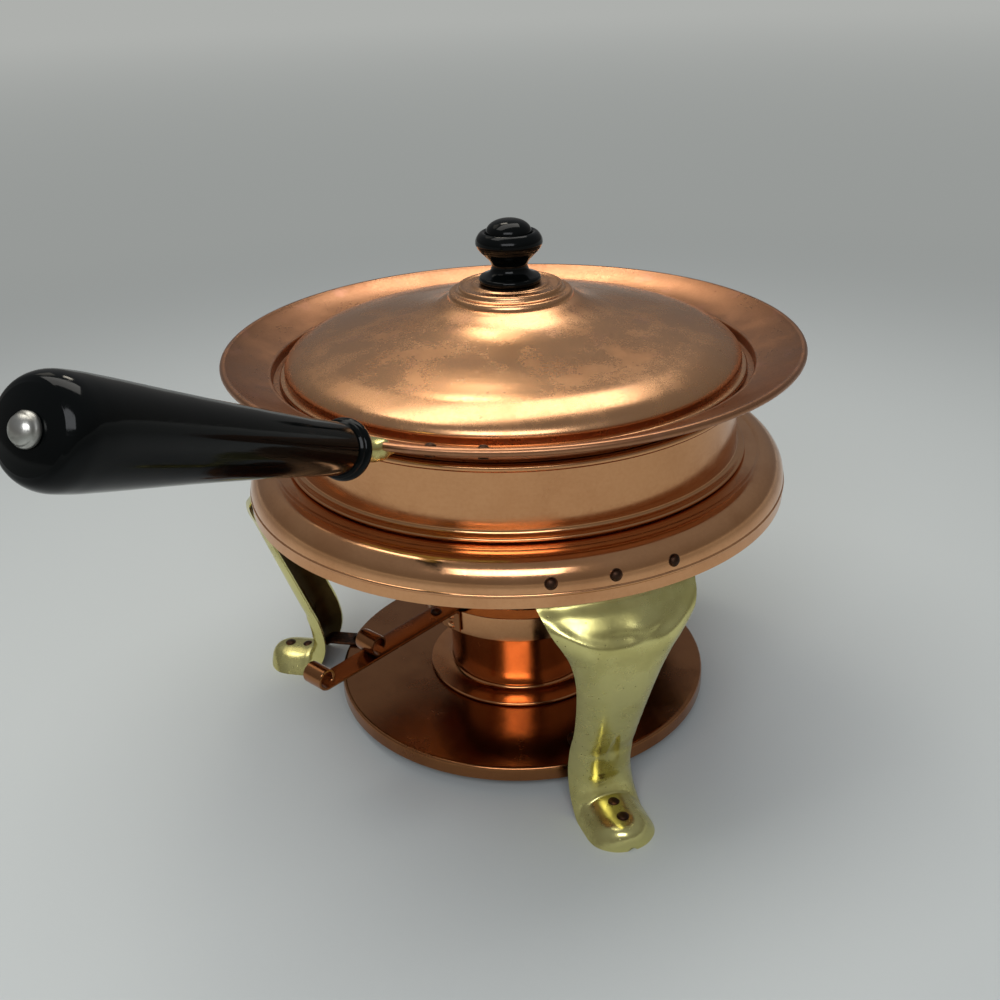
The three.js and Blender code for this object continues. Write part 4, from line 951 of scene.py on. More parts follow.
@dataclass
class Piece:
    """A finished piece of the dish: what it looks like, what it rides on and what it stands for."""

    name: str
    form: Form
    finish: Finish
    body: Body
    slot: Slot
    nodes: tuple[str, ...]
    crease: float = 35.0  # degrees past which an edge stays sharp
    rounding: float = 0.0  # millimetres of bevel on sharp edges
    holes: tuple[Form, ...] = ()
    inner_finish: Finish | None = None

    def mesh_object(self, name: str, form: Form) -> bpy.types.Object:
        """Hands a form to Blender in metres, its faces turned outwards.

        Args:
            name: Name of the object.
            form: The form.

        Returns:
            The object.
        """
        mesh = bpy.data.meshes.new(name)
        mesh.from_pydata(((form.points - (0, 0, PAN_FLOOR)) * MM).tolist(), [], form.faces)
        for index in form.inner:
            mesh.polygons[index].material_index = 1
        shell = bmesh.new()
        shell.from_mesh(mesh)
        bmesh.ops.recalc_face_normals(shell, faces=shell.faces)
        shell.to_mesh(mesh)
        shell.free()
        thing = bpy.data.objects.new(name, mesh)
        bpy.context.scene.collection.objects.link(thing)
        return thing

    def fit(self) -> bpy.types.Object:
        """Builds the piece, gives it its finish and puts it on its body.

        Returns:
            The piece's object.
        """
        thing = self.mesh_object(self.name, self.form)
        for finish in (self.finish, self.inner_finish) if self.inner_finish else (self.finish,):
            thing.data.materials.append(finish.material())
        cutters = [self.mesh_object(f"{self.name}_cutter", hole) for hole in self.holes]
        for cutter in cutters:
            cut = thing.modifiers.new("hole", "BOOLEAN")
            cut.object, cut.operation, cut.solver = cutter, "DIFFERENCE", "EXACT"
        if self.rounding:
            bevel = thing.modifiers.new("edges", "BEVEL")
            bevel.width, bevel.segments, bevel.limit_method = self.rounding * MM, 2, "ANGLE"
            bevel.angle_limit = math.radians(self.crease)
            bevel.use_clamp_overlap = True
        if thing.modifiers:
            bpy.context.view_layer.update()
            worn = thing.evaluated_get(bpy.context.evaluated_depsgraph_get())
            mesh = bpy.data.meshes.new_from_object(worn)
            thing.modifiers.clear()
            thing.data = mesh
            mesh.name = self.name
        for cutter in cutters:
            bpy.data.objects.remove(cutter)
        thing.data.shade_smooth()
        thing.data.set_sharp_from_angle(angle=math.radians(self.crease))
        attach(thing, self.body.value)
        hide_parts(*self.nodes)
        LOG.info("%s: %d faces, rides on %s", self.name, len(thing.data.polygons), self.body.value)
        return thing


@dataclass
class Rivet:
    """A rivet: a low dome in a thin burr, its shank, and the tail upset over the back."""

    head: float = 3.1
    rise: float = 2.1
    shank: float = 1.6
    tail: float = 2.5
    tail_rise: float = 1.0

    def form(self, stack: float, frame: Matrix) -> Form:
        """Builds the rivet through a stack of sheets.

        Args:
            stack: Thickness of the sheets and gaps under the head.
            frame: Frame of the surface under the head.

        Returns:
            The rivet in place.
        """
        dome = [(self.head * 0.86 * math.sin(a), 0.25 + (self.rise - 0.25) * math.cos(a))
                for a in np.linspace(0, math.pi / 2, 9)]
        burr = [(self.head * 0.92, 0.28), (self.head, 0.12), (self.head, -0.1)]
        tail = min(self.tail, self.head * 0.8)
        back, tip = -stack - 0.05, -stack - self.tail_rise
        end = [(tail, back), (tail * 0.94, -stack - self.tail_rise * 0.7), (tail * 0.6, tip), (0, tip)]
        return Form.spun([*dome, *burr, (self.shank, -0.1), (self.shank, back), *end], 28).moved(frame)

    def fit(self, name: str, node: str, body: Body, frame: Matrix, stack: float, finish: Finish = BRONZE) -> None:
        """Fits the rivet.

        Args:
            name: Name of the piece.
            node: The frame's node that it stands for.
            body: The body that it rides on.
            frame: Frame of the surface under the head.
            stack: Thickness of the sheets and gaps under the head.
            finish: The rivet's finish.
        """
        Piece(name, self.form(stack, frame), finish, body, Slot.BRONZE, (node,), 50).fit()


# ---- Stand ----


@dataclass
class StandRing:
    """The stand's ring: a skirt, a bead, a round shoulder and the flat seat of the water pan."""

    skirt_radius: float = 146.0
    foot: float = 137.5
    shoulder_foot: float = 144.8
    shoulder_rise: float = 15.2
    shoulder_inner: float = 133.5
    seat: float = 159.2
    hole: float = 116.3
    gauge: float = 1.2
    bead_rise: float = 6.4  # middle of the bead above the foot
    bead: float = 1.0

    def line(self) -> Line:
        """Gives the ring's outer line.

        Returns:
            The line, from the skirt's edge to the turned-down lip.
        """
        skirt = [(self.skirt_radius, self.foot), (self.skirt_radius, self.foot + 5.5)]
        bead = arc(self.skirt_radius - self.bead / 2, self.foot + self.bead_rise, self.bead, -62, 66, 10)
        inner, low, rise = self.shoulder_inner, self.shoulder_foot, self.shoulder_rise
        width, top = self.skirt_radius - inner, low + rise
        shoulder = [(inner + width * math.cos(a), low + rise * math.sin(a))
                    for a in np.linspace(0.06, math.pi / 2, 36)]
        step = flowing([(inner - 0.8, top - 0.06), (inner - 1.8, top - 0.4), (inner - 2.7, top - 0.74),
                        (inner - 3.6, self.seat)], 4)
        seat = [(self.hole + back, self.seat - down)
                for back, down in ((0.9, 0), (0.25, 0.3), (0, 1.0), (0, 3.2))]
        return [*skirt, *bead, *shoulder, *step, *seat]

    def build(self) -> None:
        """Fits the ring."""
        line = self.line()
        form = Form.spun(sheet(line, self.gauge), 256, len(line))
        Piece("ring_spun", form, POLISHED, Body.STAND, Slot.POLISHED, ("stand_ring",), 40,
              inner_finish=AGED_AND_SHADED).fit()


@dataclass
class CabrioleLeg:
    """A brass leg: flange inside the ring, hollowed knee, slim ankle and a shoe-shaped foot."""

    leg: Leg
    ring: StandRing = field(default_factory=StandRing)
    knee: float = 157.5
    ankle: float = 129.5
    toe: float = 160.85
    height: float = 137.5
    top_half: float = 40.0
    ankle_half: float = 17.3
    knee_depth: float = 18.0
    foot_height: float = 12.3
    gauge: float = 2.0
    columns: int = 56
    flange_gap: float = 2.3  # from the ring's outer face to the flange's
    flange_radius: float = 143.7  # at the foot of the ring
    crest_height: float = 119.0  # the knee's carved crest, with the scoop above it
    crest_rise: float = 0.35
    scoop_depth: float = 1.9
    band_rise: float = 0.9
    flame_depth: float = 0.9
    fold_rise: float = 0.5
    foot_dip: float = 0.35
    flange_rows: tuple[tuple[float, float], ...] = (
        # height, place up the ring's round shoulder from 0 to 1
        (153.56, 0.585), (149.46, 0.32), (144.5, 0.0),
    )
    knee_rows: tuple[tuple[float, ...], ...] = (
        # height as a share of the leg's, sweep from ankle to knee, width from ankle to top, depth, wrap
        (0.953, 0.75, 0.93, 0.4, 0.3),
        (0.902, 0.946, 0.8, 0.5, 0.6),
        (0.844, 1.0, 0.6, 0.55, 0.9),
        (0.771, 0.932, 0.39, 0.57, 1.0),
        (0.66, 0.79, 0.2, 0.59, 1.0),
        (0.5, 0.53, 0.065, 0.61, 1.0),
        (0.364, 0.279, 0.004, 0.61, 1.0),
        (0.269, 0.089, 0.0, 0.61, 1.0),
    )
    foot_rows: tuple[tuple[float, ...], ...] = (
        # height as a share of the foot's, place from ankle to toe, lean, width, tuck of the sheet
        (2.0, 0.003, 10, 1.01, 0.0),
        (1.23, 0.05, 56, 1.03, 0.0),
        (1.0, 0.11, 90, 1.04, 0.0),
        (1.0, 0.5, 90, 1.03, 0.0),
        (0.985, 0.66, 90, 0.98, 0.1),
        (0.94, 0.76, 90, 0.89, 0.2),
        (0.86, 0.85, 90, 0.74, 0.35),
        (0.73, 0.92, 90, 0.57, 0.6),
        (0.52, 0.968, 90, 0.38, 0.8),
        (0.15, 0.998, 90, 0.15, 1.0),
    )

    def stations(self) -> np.ndarray:
        """Lists the leg's rows from the flange down to the toe.

        Returns:
            Radius, height, lean, half width, depth, section power, wrap and tuck of each row.
        """
        ring = self.ring
        width = ring.skirt_radius - ring.shoulder_inner
        start = ring.shoulder_inner - self.flange_gap
        flange = [(start + math.sqrt(1 - share**2) * width - ring.gauge * share, height)
                  for height, share in self.flange_rows]
        rows: list[tuple[float, ...]] = []
        for radius, height in (*flange, (self.flange_radius, self.height - 0.3)):
            depth = radius - math.sqrt(radius**2 - self.top_half**2)
            rows.append((radius, height, 0, self.top_half, depth, 2, 0, 0))
        for up, sweep, broad, deep, wrap in self.knee_rows:
            rows.append((
                self.ankle + (self.knee - self.ankle) * sweep, self.height * up, 0,
                self.ankle_half + (self.top_half - self.ankle_half) * broad,
                self.knee_depth * deep, 2 + 2 * wrap, wrap, 0))
        for up, out, lean, broad, tuck in self.foot_rows:
            flat = lean == 90
            rows.append((
                self.ankle + (self.toe - self.ankle) * out, self.foot_height * up, lean,
                self.ankle_half * broad, self.foot_height * up if flat else 11.0, 2.7 if flat else 4, 1, tuck))
        return np.array(rows, float)

    def sculpt(self, radius: float, height: float, lean: float, across: np.ndarray) -> np.ndarray:
        """Gives how far the skin stands out of the plain leg, as the pattern's carver left it.

        Args:
            radius: Radius of the row's ridge.
            height: Height of the row's ridge.
            lean: Lean of the row in degrees.
            across: Place across the row, from -1 to 1.

        Returns:
            The distance at each place, in millimetres.
        """
        aside = np.abs(across)
        if lean < 45:
            # The knee: a crest that climbs to both sides, and a scoop above it with a ridge up its middle.
            above = height - (self.crest_height + 13.0 * aside**3)
            side = np.abs(across - 0.2 + 0.004 * above)
            scoop = smoothstep(above, -2.5, 4.0) * smoothstep(above, 16.0, 4.0) * smoothstep(side, 0.0, 0.32)
            crest = np.exp(-((above + 0.6) / 2.0) ** 2) * smoothstep(aside, 1.0, 0.55)
            skin = self.crest_rise * crest - self.scoop_depth * scoop * smoothstep(aside, 1.0, 0.7)
            # The ankle: a raised band, and a flame-shaped dimple that runs up out of it.
            band = smoothstep(height, 39.6, 37.6) * smoothstep(height, 22.0, 25.0)
            skin = skin + self.band_rise * band * smoothstep(aside, 1.0, 0.75)
            reach = 0.24 * np.clip((54.0 - height) / 18.0, 0.0, 1.0) ** 0.8
            flame = np.clip(1 - np.abs(across - 0.06) / max(reach, 0.04), 0, 1) * smoothstep(height, 55.0, 51.0)
            return skin - self.flame_depth * smoothstep(flame, 0.0, 0.6) * smoothstep(height, 33.0, 38.0)
        # The foot: a fold where it bends, and a shallow dip round the rivets.
        fold = np.exp(-((radius - 133.5) / 2.2) ** 2) * smoothstep(aside, 1.0, 0.7)
        flat = smoothstep(radius, 134.0, 142.0) * smoothstep(radius, 160.0, 150.0)
        return self.fold_rise * fold - self.foot_dip * flat * smoothstep(aside, 0.75, 0.35)

    def skin(self, inside: bool) -> np.ndarray:
        """Gives one side of the leg.

        Args:
            inside: Whether the hollow side is wanted.

        Returns:
            A grid of points, seven rows from each station to the next.
        """
        across = np.sin(np.linspace(-1, 1, self.columns + 1) * math.pi / 2)
        grid = []
        for radius, height, lean, half, depth, power, wrap, tuck in even_through(self.stations(), 7):
            out, up = math.cos(math.radians(lean)), math.sin(math.radians(lean))
            gauge = self.gauge if inside else 0.0
            low = min(gauge, height * 0.75) if lean > 60 else gauge
            ridge_out, ridge_up = radius - low * out - gauge * tuck, height - low * up
            reach = half - gauge * wrap
            deep = ridge_up if lean > 89.9 else depth - gauge * wrap
            power = 4 if inside and lean > 89.9 else power
            back = deep * np.abs(across) ** power - self.sculpt(radius, height, lean, across)
            grid.append(np.stack([ridge_out - back * out, reach * across, ridge_up - back * up], 1))
        points = np.array(grid)
        points[..., 2] = np.maximum(points[..., 2], 0.0)
        return points

    def build(self) -> None:
        """Fits the leg."""
        outer, inner = self.skin(False), self.skin(True)
        loops = np.concatenate([outer, inner[:, ::-1]], 1)
        form = Form.lofted(loops)
        around, skin = loops.shape[1], self.columns + 1
        form.inner = [face for face in range((len(loops) - 1) * around) if skin <= face % around < around - 1]
        name = f"leg_{self.leg.word}"
        # The hollow inner side takes a darker finish that is partly painted shade.
        Piece(f"{name}_cast", form.moved(placed(self.leg.value, 0, 0)), BRASS, Body.STAND, Slot.BRASS,
              (name,), 50, 0.35, inner_finish=RAW_BRASS_AND_SHADE).fit()


@dataclass
class TrayAndArms:
    """The burner's tray, with the three arms that carry it and every rivet of the stand."""

    radius: float = 108.3
    top: float = 17.0
    edge: float = 7.9
    gauge: float = 1.5
    arm_gauge: float = 1.8
    arm_width: float = 12.0
    arm_radii: tuple[float, ...] = (152.6, 131.5, 122.5, 84.3)  # the end under the foot, two bends, the other end
    foot_height: float = 12.3
    ring_rivet_turns: tuple[float, ...] = (-13.4, -1.5, 10.4)
    ring_rivet_spot: tuple[float, ...] = (145.34, 149.46, 75.0)  # radius, height and lean
    foot_rivet_radii: tuple[float, ...] = (148.6, 136.9)
    tray_rivet_radii: tuple[float, ...] = (103.5, 87.9)

    @property
    def arm_top(self) -> float:
        """Height of an arm's top face where it lies on the tray."""
        return self.top + 0.1 + self.arm_gauge

    def build_tray(self) -> None:
        """Fits the tray."""
        top, low, inner = self.top, self.top - self.edge, self.radius - self.gauge
        outer = eased([(0, top), (self.radius - 0.2, top), (self.radius, low)], 2.2, 8)
        under = [(self.radius - 0.3, low), (inner, low), (inner, top - 3.0),
                 (self.radius - 3.0, top - self.gauge), (0, top - self.gauge)]
        form = Form.spun([*outer, *under], 256)
        Piece("tray_spun", form, AGED_AND_SHADED, Body.STAND, Slot.SATIN, ("burner_tray",), 40).fit()

    def build_arm(self, leg: Leg) -> None:
        """Fits one arm: flat under the foot, stepped up, and flat on the tray.

        Args:
            leg: The leg that carries it.
        """
        low, high = self.foot_height - 2.3, self.arm_top
        line = eased(list(zip(self.arm_radii, (low, low, high, high))), 4.0, 6)
        form = Form.strap(line, self.arm_gauge, self.arm_width, True, True).moved(placed(leg.value, 0, 0))
        name = f"tray_arm_{leg.word}"
        Piece(f"{name}_strip", form, BRONZE, Body.STAND, Slot.BRONZE, (name,), 35).fit()

    def build_rivets(self, leg: Leg) -> None:
        """Fits the rivets of one leg: three in the ring, two in the foot and two in the tray.

        Args:
            leg: The leg.
        """
        in_ring = [placed(leg.value + turn, *self.ring_rivet_spot) for turn in self.ring_rivet_turns]
        in_foot = [placed(leg.value, radius, self.foot_height - 0.35) for radius in self.foot_rivet_radii]
        in_tray = [placed(leg.value, radius, self.arm_top) for radius in self.tray_rivet_radii]
        flat = Rivet(head=3.2, rise=1.2)
        for kind, rivet, stack, frames in (
                ("ring", Rivet(), 5.2, in_ring), ("foot", flat, 3.6, in_foot), ("tray", Rivet(), 3.4, in_tray)):
            for i, frame in enumerate(frames, 1):
                node = f"{kind}_rivet_{leg.word}_{i}"
                rivet.fit(f"{node}_domed", node, Body.STAND, frame, stack)

    def build(self) -> None:
        """Fits the tray, the arms and the rivets."""
        self.build_tray()
        for leg in Leg:
            self.build_arm(leg)
            self.build_rivets(leg)


# ---- Pans ----


@dataclass
class WaterPan:
    """The water pan: a plain drum with a bead round its foot and a rolled top edge."""

    radius: float = 120.0
    well: float = 115.2
    bottom: float = 144.9
    foot: float = 159.5
    top: float = 198.0
    gauge: float = 1.2
    bead_radius: float = 123.7
    bead: float = 1.1

    def outline(self) -> Line:
        """Gives the section of the drum.

        Returns:
            The line from the middle of its floor round its edge and back.
        """
        out, well, foot, top, g = self.radius, self.well, self.foot, self.top, self.gauge
        corner = arc(well - 4, self.bottom + 4, 4, -90, 0, 8)
        step = [(well, foot - 0.6), (well + 0.6, foot), (self.bead_radius - 0.1, foot)]
        bead = arc(self.bead_radius, foot + self.bead, self.bead, -90, 75, 8)
        fillet = flowing([(out + 3.3, foot + 2.15), (out + 2.0, foot + 2.3), (out + 0.8, foot + 2.9),
                          (out + 0.15, foot + 4.0), (out, foot + 5.4)], 4)
        wall = eased([(out, foot + 6.2), (out, top - 4.6), (out + 0.7, top - 3.9)], 0.6, 3)
        roll = arc(out + 2, top - 2, 2, -120, 90, 14)
        lip = [(out, top), (out - 0.8, top - 0.4), (out - g, top - 1.4)]
        inside = [(out - g, foot + g + 0.8), (out - g - 0.6, foot + g), (well - g + 0.5, foot + g),
                  (well - g, foot + 0.5)]
        inner_corner = arc(well - 4, self.bottom + 4, 4 - g, 0, -90, 8)
        return [(0, self.bottom), *corner, *step, *bead, *fillet, *wall, *roll, *lip, *inside, *inner_corner,
                (0, self.bottom + g)]

    def build(self) -> None:
        """Fits the water pan."""
        form = Form.spun(self.outline(), 256)
        Piece("water_pan_spun", form, BUFFED_SHADE_DIMMED, Body.WATER_PAN, Slot.POLISHED, ("water_pan",), 40).fit()


@dataclass
class FoodPan:
    """The food pan: a bowl, a gutter for the lid, a raised flange and a rolled rim."""

    bowl: float = 111.0
    bottom: float = 153.9
    corner: float = 6.0
    ledge: float = 198.3
    gutter_bottom: float = 202.5
    gutter: float = 128.6
    flange_foot: float = 207.5
    flange_outer: float = 149.9
    flange_top: float = 215.7
    rim: float = 150.9
    rim_bead: float = 2.0
    gauge: float = 1.2

    def flange_height(self, radius: float) -> float:
        """Gives the height of the flange's top face at a radius."""
        rise = self.gauge * math.hypot(1, self.slope)
        return self.flange_top - (self.flange_outer - radius) * self.slope + rise

    @property
    def slope(self) -> float:
        """Rise of the flange for each millimetre outwards."""
        return (self.flange_top - self.flange_foot) / (self.flange_outer - self.gutter)

    def outline(self) -> Line:
        """Gives the section of the pan.

        Returns:
            The line from the middle of its floor round its rim and back.
        """
        g, bowl, ledge, gutter, low_gutter = self.gauge, self.bowl, self.ledge, self.gutter, self.gutter_bottom
        brim = self.flange_outer - 1.2
        under = eased([
            (bowl, ledge - 10), (bowl, ledge - 2.4), (bowl + 2.4, ledge), (121.2, ledge), (119.4, ledge + g),
            (118.8, low_gutter), (gutter - g, low_gutter), (gutter, low_gutter + g), (gutter, self.flange_foot),
            (self.flange_outer, self.flange_top),
        ], 0.9, 3)
        roll = arc(self.rim, self.flange_top + g / 2, self.rim_bead, -125, 128, 18)
        over = eased([
            (brim, self.flange_height(brim)), (gutter + 0.4, self.flange_height(gutter + 0.4)),
            (gutter - 0.5, self.flange_height(gutter) + 0.25), (gutter - g, self.flange_height(gutter) - 0.6),
            (gutter - g, low_gutter + g), (117.6, low_gutter + g), (117.6, ledge + g), (bowl + g, ledge + g),
            (bowl - g, ledge - g), (bowl - g, ledge - 12),
        ], 0.7, 3)
        low = arc(self.bowl - self.corner, self.bottom + self.corner, self.corner, -90, 0, 8)
        back = arc(self.bowl - self.corner, self.bottom + self.corner, self.corner - g, 0, -90, 8)
        return [(0, self.bottom), *low, *under, *roll, *over, *back, (0, self.bottom + g)]

    def build(self) -> None:
        """Fits the food pan."""
        form = Form.spun(self.outline(), 256)
        Piece("food_pan_spun", form, BROWNED, Body.FOOD_PAN, Slot.SATIN, ("food_pan",), 40).fit()


@dataclass
class Handle:
    """The long handle: a brass bracket under the flange, a black grip, its rod and end nut."""

    pan: FoodPan = field(default_factory=FoodPan)
    rise: float = 24.0
    rim_radius: float = 152.9
    gap: float = 17.0
    drop: float = 2.2
    length: float = 171.0
    neck: float = 11.0
    flare: float = 6.95  # how much wider than the neck it grows
    bracket_gauge: float = 1.6
    bracket_half: float = 6.0
    bracket_back: float = 7.4  # from the flange's edge to the bracket's middle
    span: float = 22.0
    rivet_turns: tuple[float, ...] = (-18.9, -9.6, 9.6, 18.9)
    grip_shares: tuple[tuple[float, float], ...] = (
        # place along the flare, radius from neck to end
        (0.0, 0.0), (0.16, 0.1), (0.33, 0.27), (0.5, 0.46), (0.68, 0.7), (0.84, 0.93), (0.92, 1.0),
        (0.965, 0.93), (0.99, 0.66), (1.0, 0.3),
    )

    @property
    def foot(self) -> tuple[float, float]:
        """Radius and height of the grip's foot.

        Returns:
            The two.
        """
        lean = math.radians(self.rise)
        rim_height = self.pan.flange_top + self.pan.gauge / 2
        return (self.rim_radius + self.gap * math.cos(lean), rim_height - self.drop + self.gap * math.sin(lean))

    @property
    def frame(self) -> Matrix:
        """Frame of the grip, its Z running out along the handle."""
        return placed(HANDLE_AZIMUTH, *self.foot, 90 - self.rise)

    def grip(self) -> Form:
        """Gives the grip: a rolled collar, a fine groove, a long flare and a rounded end.

        Returns:
            The grip in place.
        """
        roll = arc(10.6, 2.6, 2.55, -78, 78, 10)
        collar = [(3.3, 0.0), (9.6, 0.0), *roll, (12.0, 5.5), (11.7, 5.9), (11.75, 6.3)]
        ring = arc(11.75, 6.95, 0.45, -70, 80, 5)
        foot = 7.8
        flare = flowing([(self.neck + self.flare * out, foot + (self.length - foot) * along)
                         for along, out in self.grip_shares], 7)
        return Form.spun([*collar, *ring, *flare, (3.3, self.length)], 72).moved(self.frame)

    def strip(self) -> Form:
        """Gives the bracket's curved strip, which lies against the flange from below.

        Returns:
            The strip, its middle along azimuth 0.
        """
        turns = np.radians(np.linspace(-self.span, self.span, 61))
        slope, middle = self.pan.slope, self.pan.flange_outer - self.bracket_back
        height = self.pan.flange_top - self.bracket_back * slope - 0.36

        def round_axis(out: float, up: float) -> np.ndarray:
            """Turns a vector of the radius-height plane to each place along the strip."""
            return np.array([(out * math.cos(turn), out * math.sin(turn), up) for turn in turns])

        line = round_axis(middle, height)
        across = round_axis(1.0, slope) / math.hypot(1, slope)
        under = line + self.bracket_gauge * round_axis(slope, -1.0) / math.hypot(1, slope)
        half = self.bracket_half
        ends = middle * (math.radians(self.span) - np.abs(turns))
        reach = np.sqrt(np.maximum(half**2 - np.maximum(half - ends, 0) ** 2, 0.04))
        return Form.bar(line, under, across, reach)

    def tongue(self) -> Form:
        """Gives the bracket's tongue, which grips the rim and runs out to the neck.

        Returns:
            The tongue along azimuth 0.
        """
        foot_radius, foot_height = self.foot
        high, higher = (foot_height + (radius - foot_radius) * math.tan(math.radians(self.rise))
                        for radius in (158.0, 161.4))
        stops = np.array([
            # radius, middle height, half width, half height, squareness
            (143.0, 211.9, 8.6, 1.6, 5.0),
            (146.6, 213.0, 8.8, 2.6, 5.0),
            (148.2, 214.6, 8.6, 4.4, 4.5),
            (150.8, 214.3, 8.2, 5.1, 4.0),
            (154.0, 214.5, 7.3, 5.0, 3.0),
            (158.0, high, 6.0, 4.9, 2.3),
            (161.4, higher, 5.1, 4.9, 2.0),
        ])
        around = np.linspace(0, 2 * math.pi, 32, endpoint=False)
        sections = []
        for radius, height, wide, tall, square in even_through(stops, 5):
            aside = np.sign(np.cos(around)) * np.abs(np.cos(around)) ** (2 / square) * wide
            up = np.sign(np.sin(around)) * np.abs(np.sin(around)) ** (2 / square) * tall
            sections.append(np.stack([np.full(32, radius), aside, height + up], 1))
        return Form.lofted(np.array(sections))

    def bracket(self) -> Form:
        """Gives the whole bracket, cast in one: strip, tongue and neck.

        Returns:
            The bracket in place.
        """
        neck = Form.spun(eased([(0, -11.5), (4.9, -11.5), (4.95, -8.0), (5.2, -5.0), (5.7, -2.6), (6.4, -0.9),
                                (6.4, -0.2), (0, -0.2)], 0.5), 48)
        neck = neck.moved(placed(0, *self.foot, 90 - self.rise))
        return self.strip().joined(self.tongue()).joined(neck).moved(placed(HANDLE_AZIMUTH, 0, 0))

    def build(self) -> None:
        """Fits the bracket, its rivets, the grip, the rod and the nut."""
        food, brass, steel = Body.FOOD_PAN, Slot.BRASS, Slot.STEEL
        Piece("bracket_cast", self.bracket(), BRASS, food, brass, ("handle_bracket",), 50).fit()
        Piece("grip_moulded", self.grip(), PHENOLIC, food, Slot.PHENOLIC, ("handle_grip",), 50).fit()
        rod = eased([(0, -8.5), (3.0, -8.5), (3.0, self.length + 2.4), (0, self.length + 2.4)], 0.6)
        Piece("rod_turned", Form.spun(rod, 32).moved(self.frame), STEEL, food, steel, ("handle_rod",), 40).fit()
        nut = [(0, 2.8), (3.3, 2.8), (3.3, 0.1), (4.9, 0.1), (5.4, 0.5), (5.4, 1.7), (5.0, 2.2), (4.6, 2.6),
               *[(4.6 * math.cos(a), 2.6 + 2.5 * math.sin(a)) for a in np.linspace(0.15, math.pi / 2, 8)]]
        form = Form.spun([(r, z + self.length) for r, z in nut], 48).moved(self.frame)
        Piece("end_nut_turned", form, STEEL, food, steel, ("handle_nut",), 40).fit()
        spot = self.pan.flange_outer - self.bracket_back
        for i, turn in enumerate(self.rivet_turns, 1):
            lean = -math.degrees(math.atan(self.pan.slope))
            frame = placed(HANDLE_AZIMUTH + turn, spot, self.pan.flange_height(spot), lean)
            node = f"bracket_rivet_{i}"
            Rivet().fit(f"{node}_domed", node, food, frame, 3.2)


# ---- Lid ----


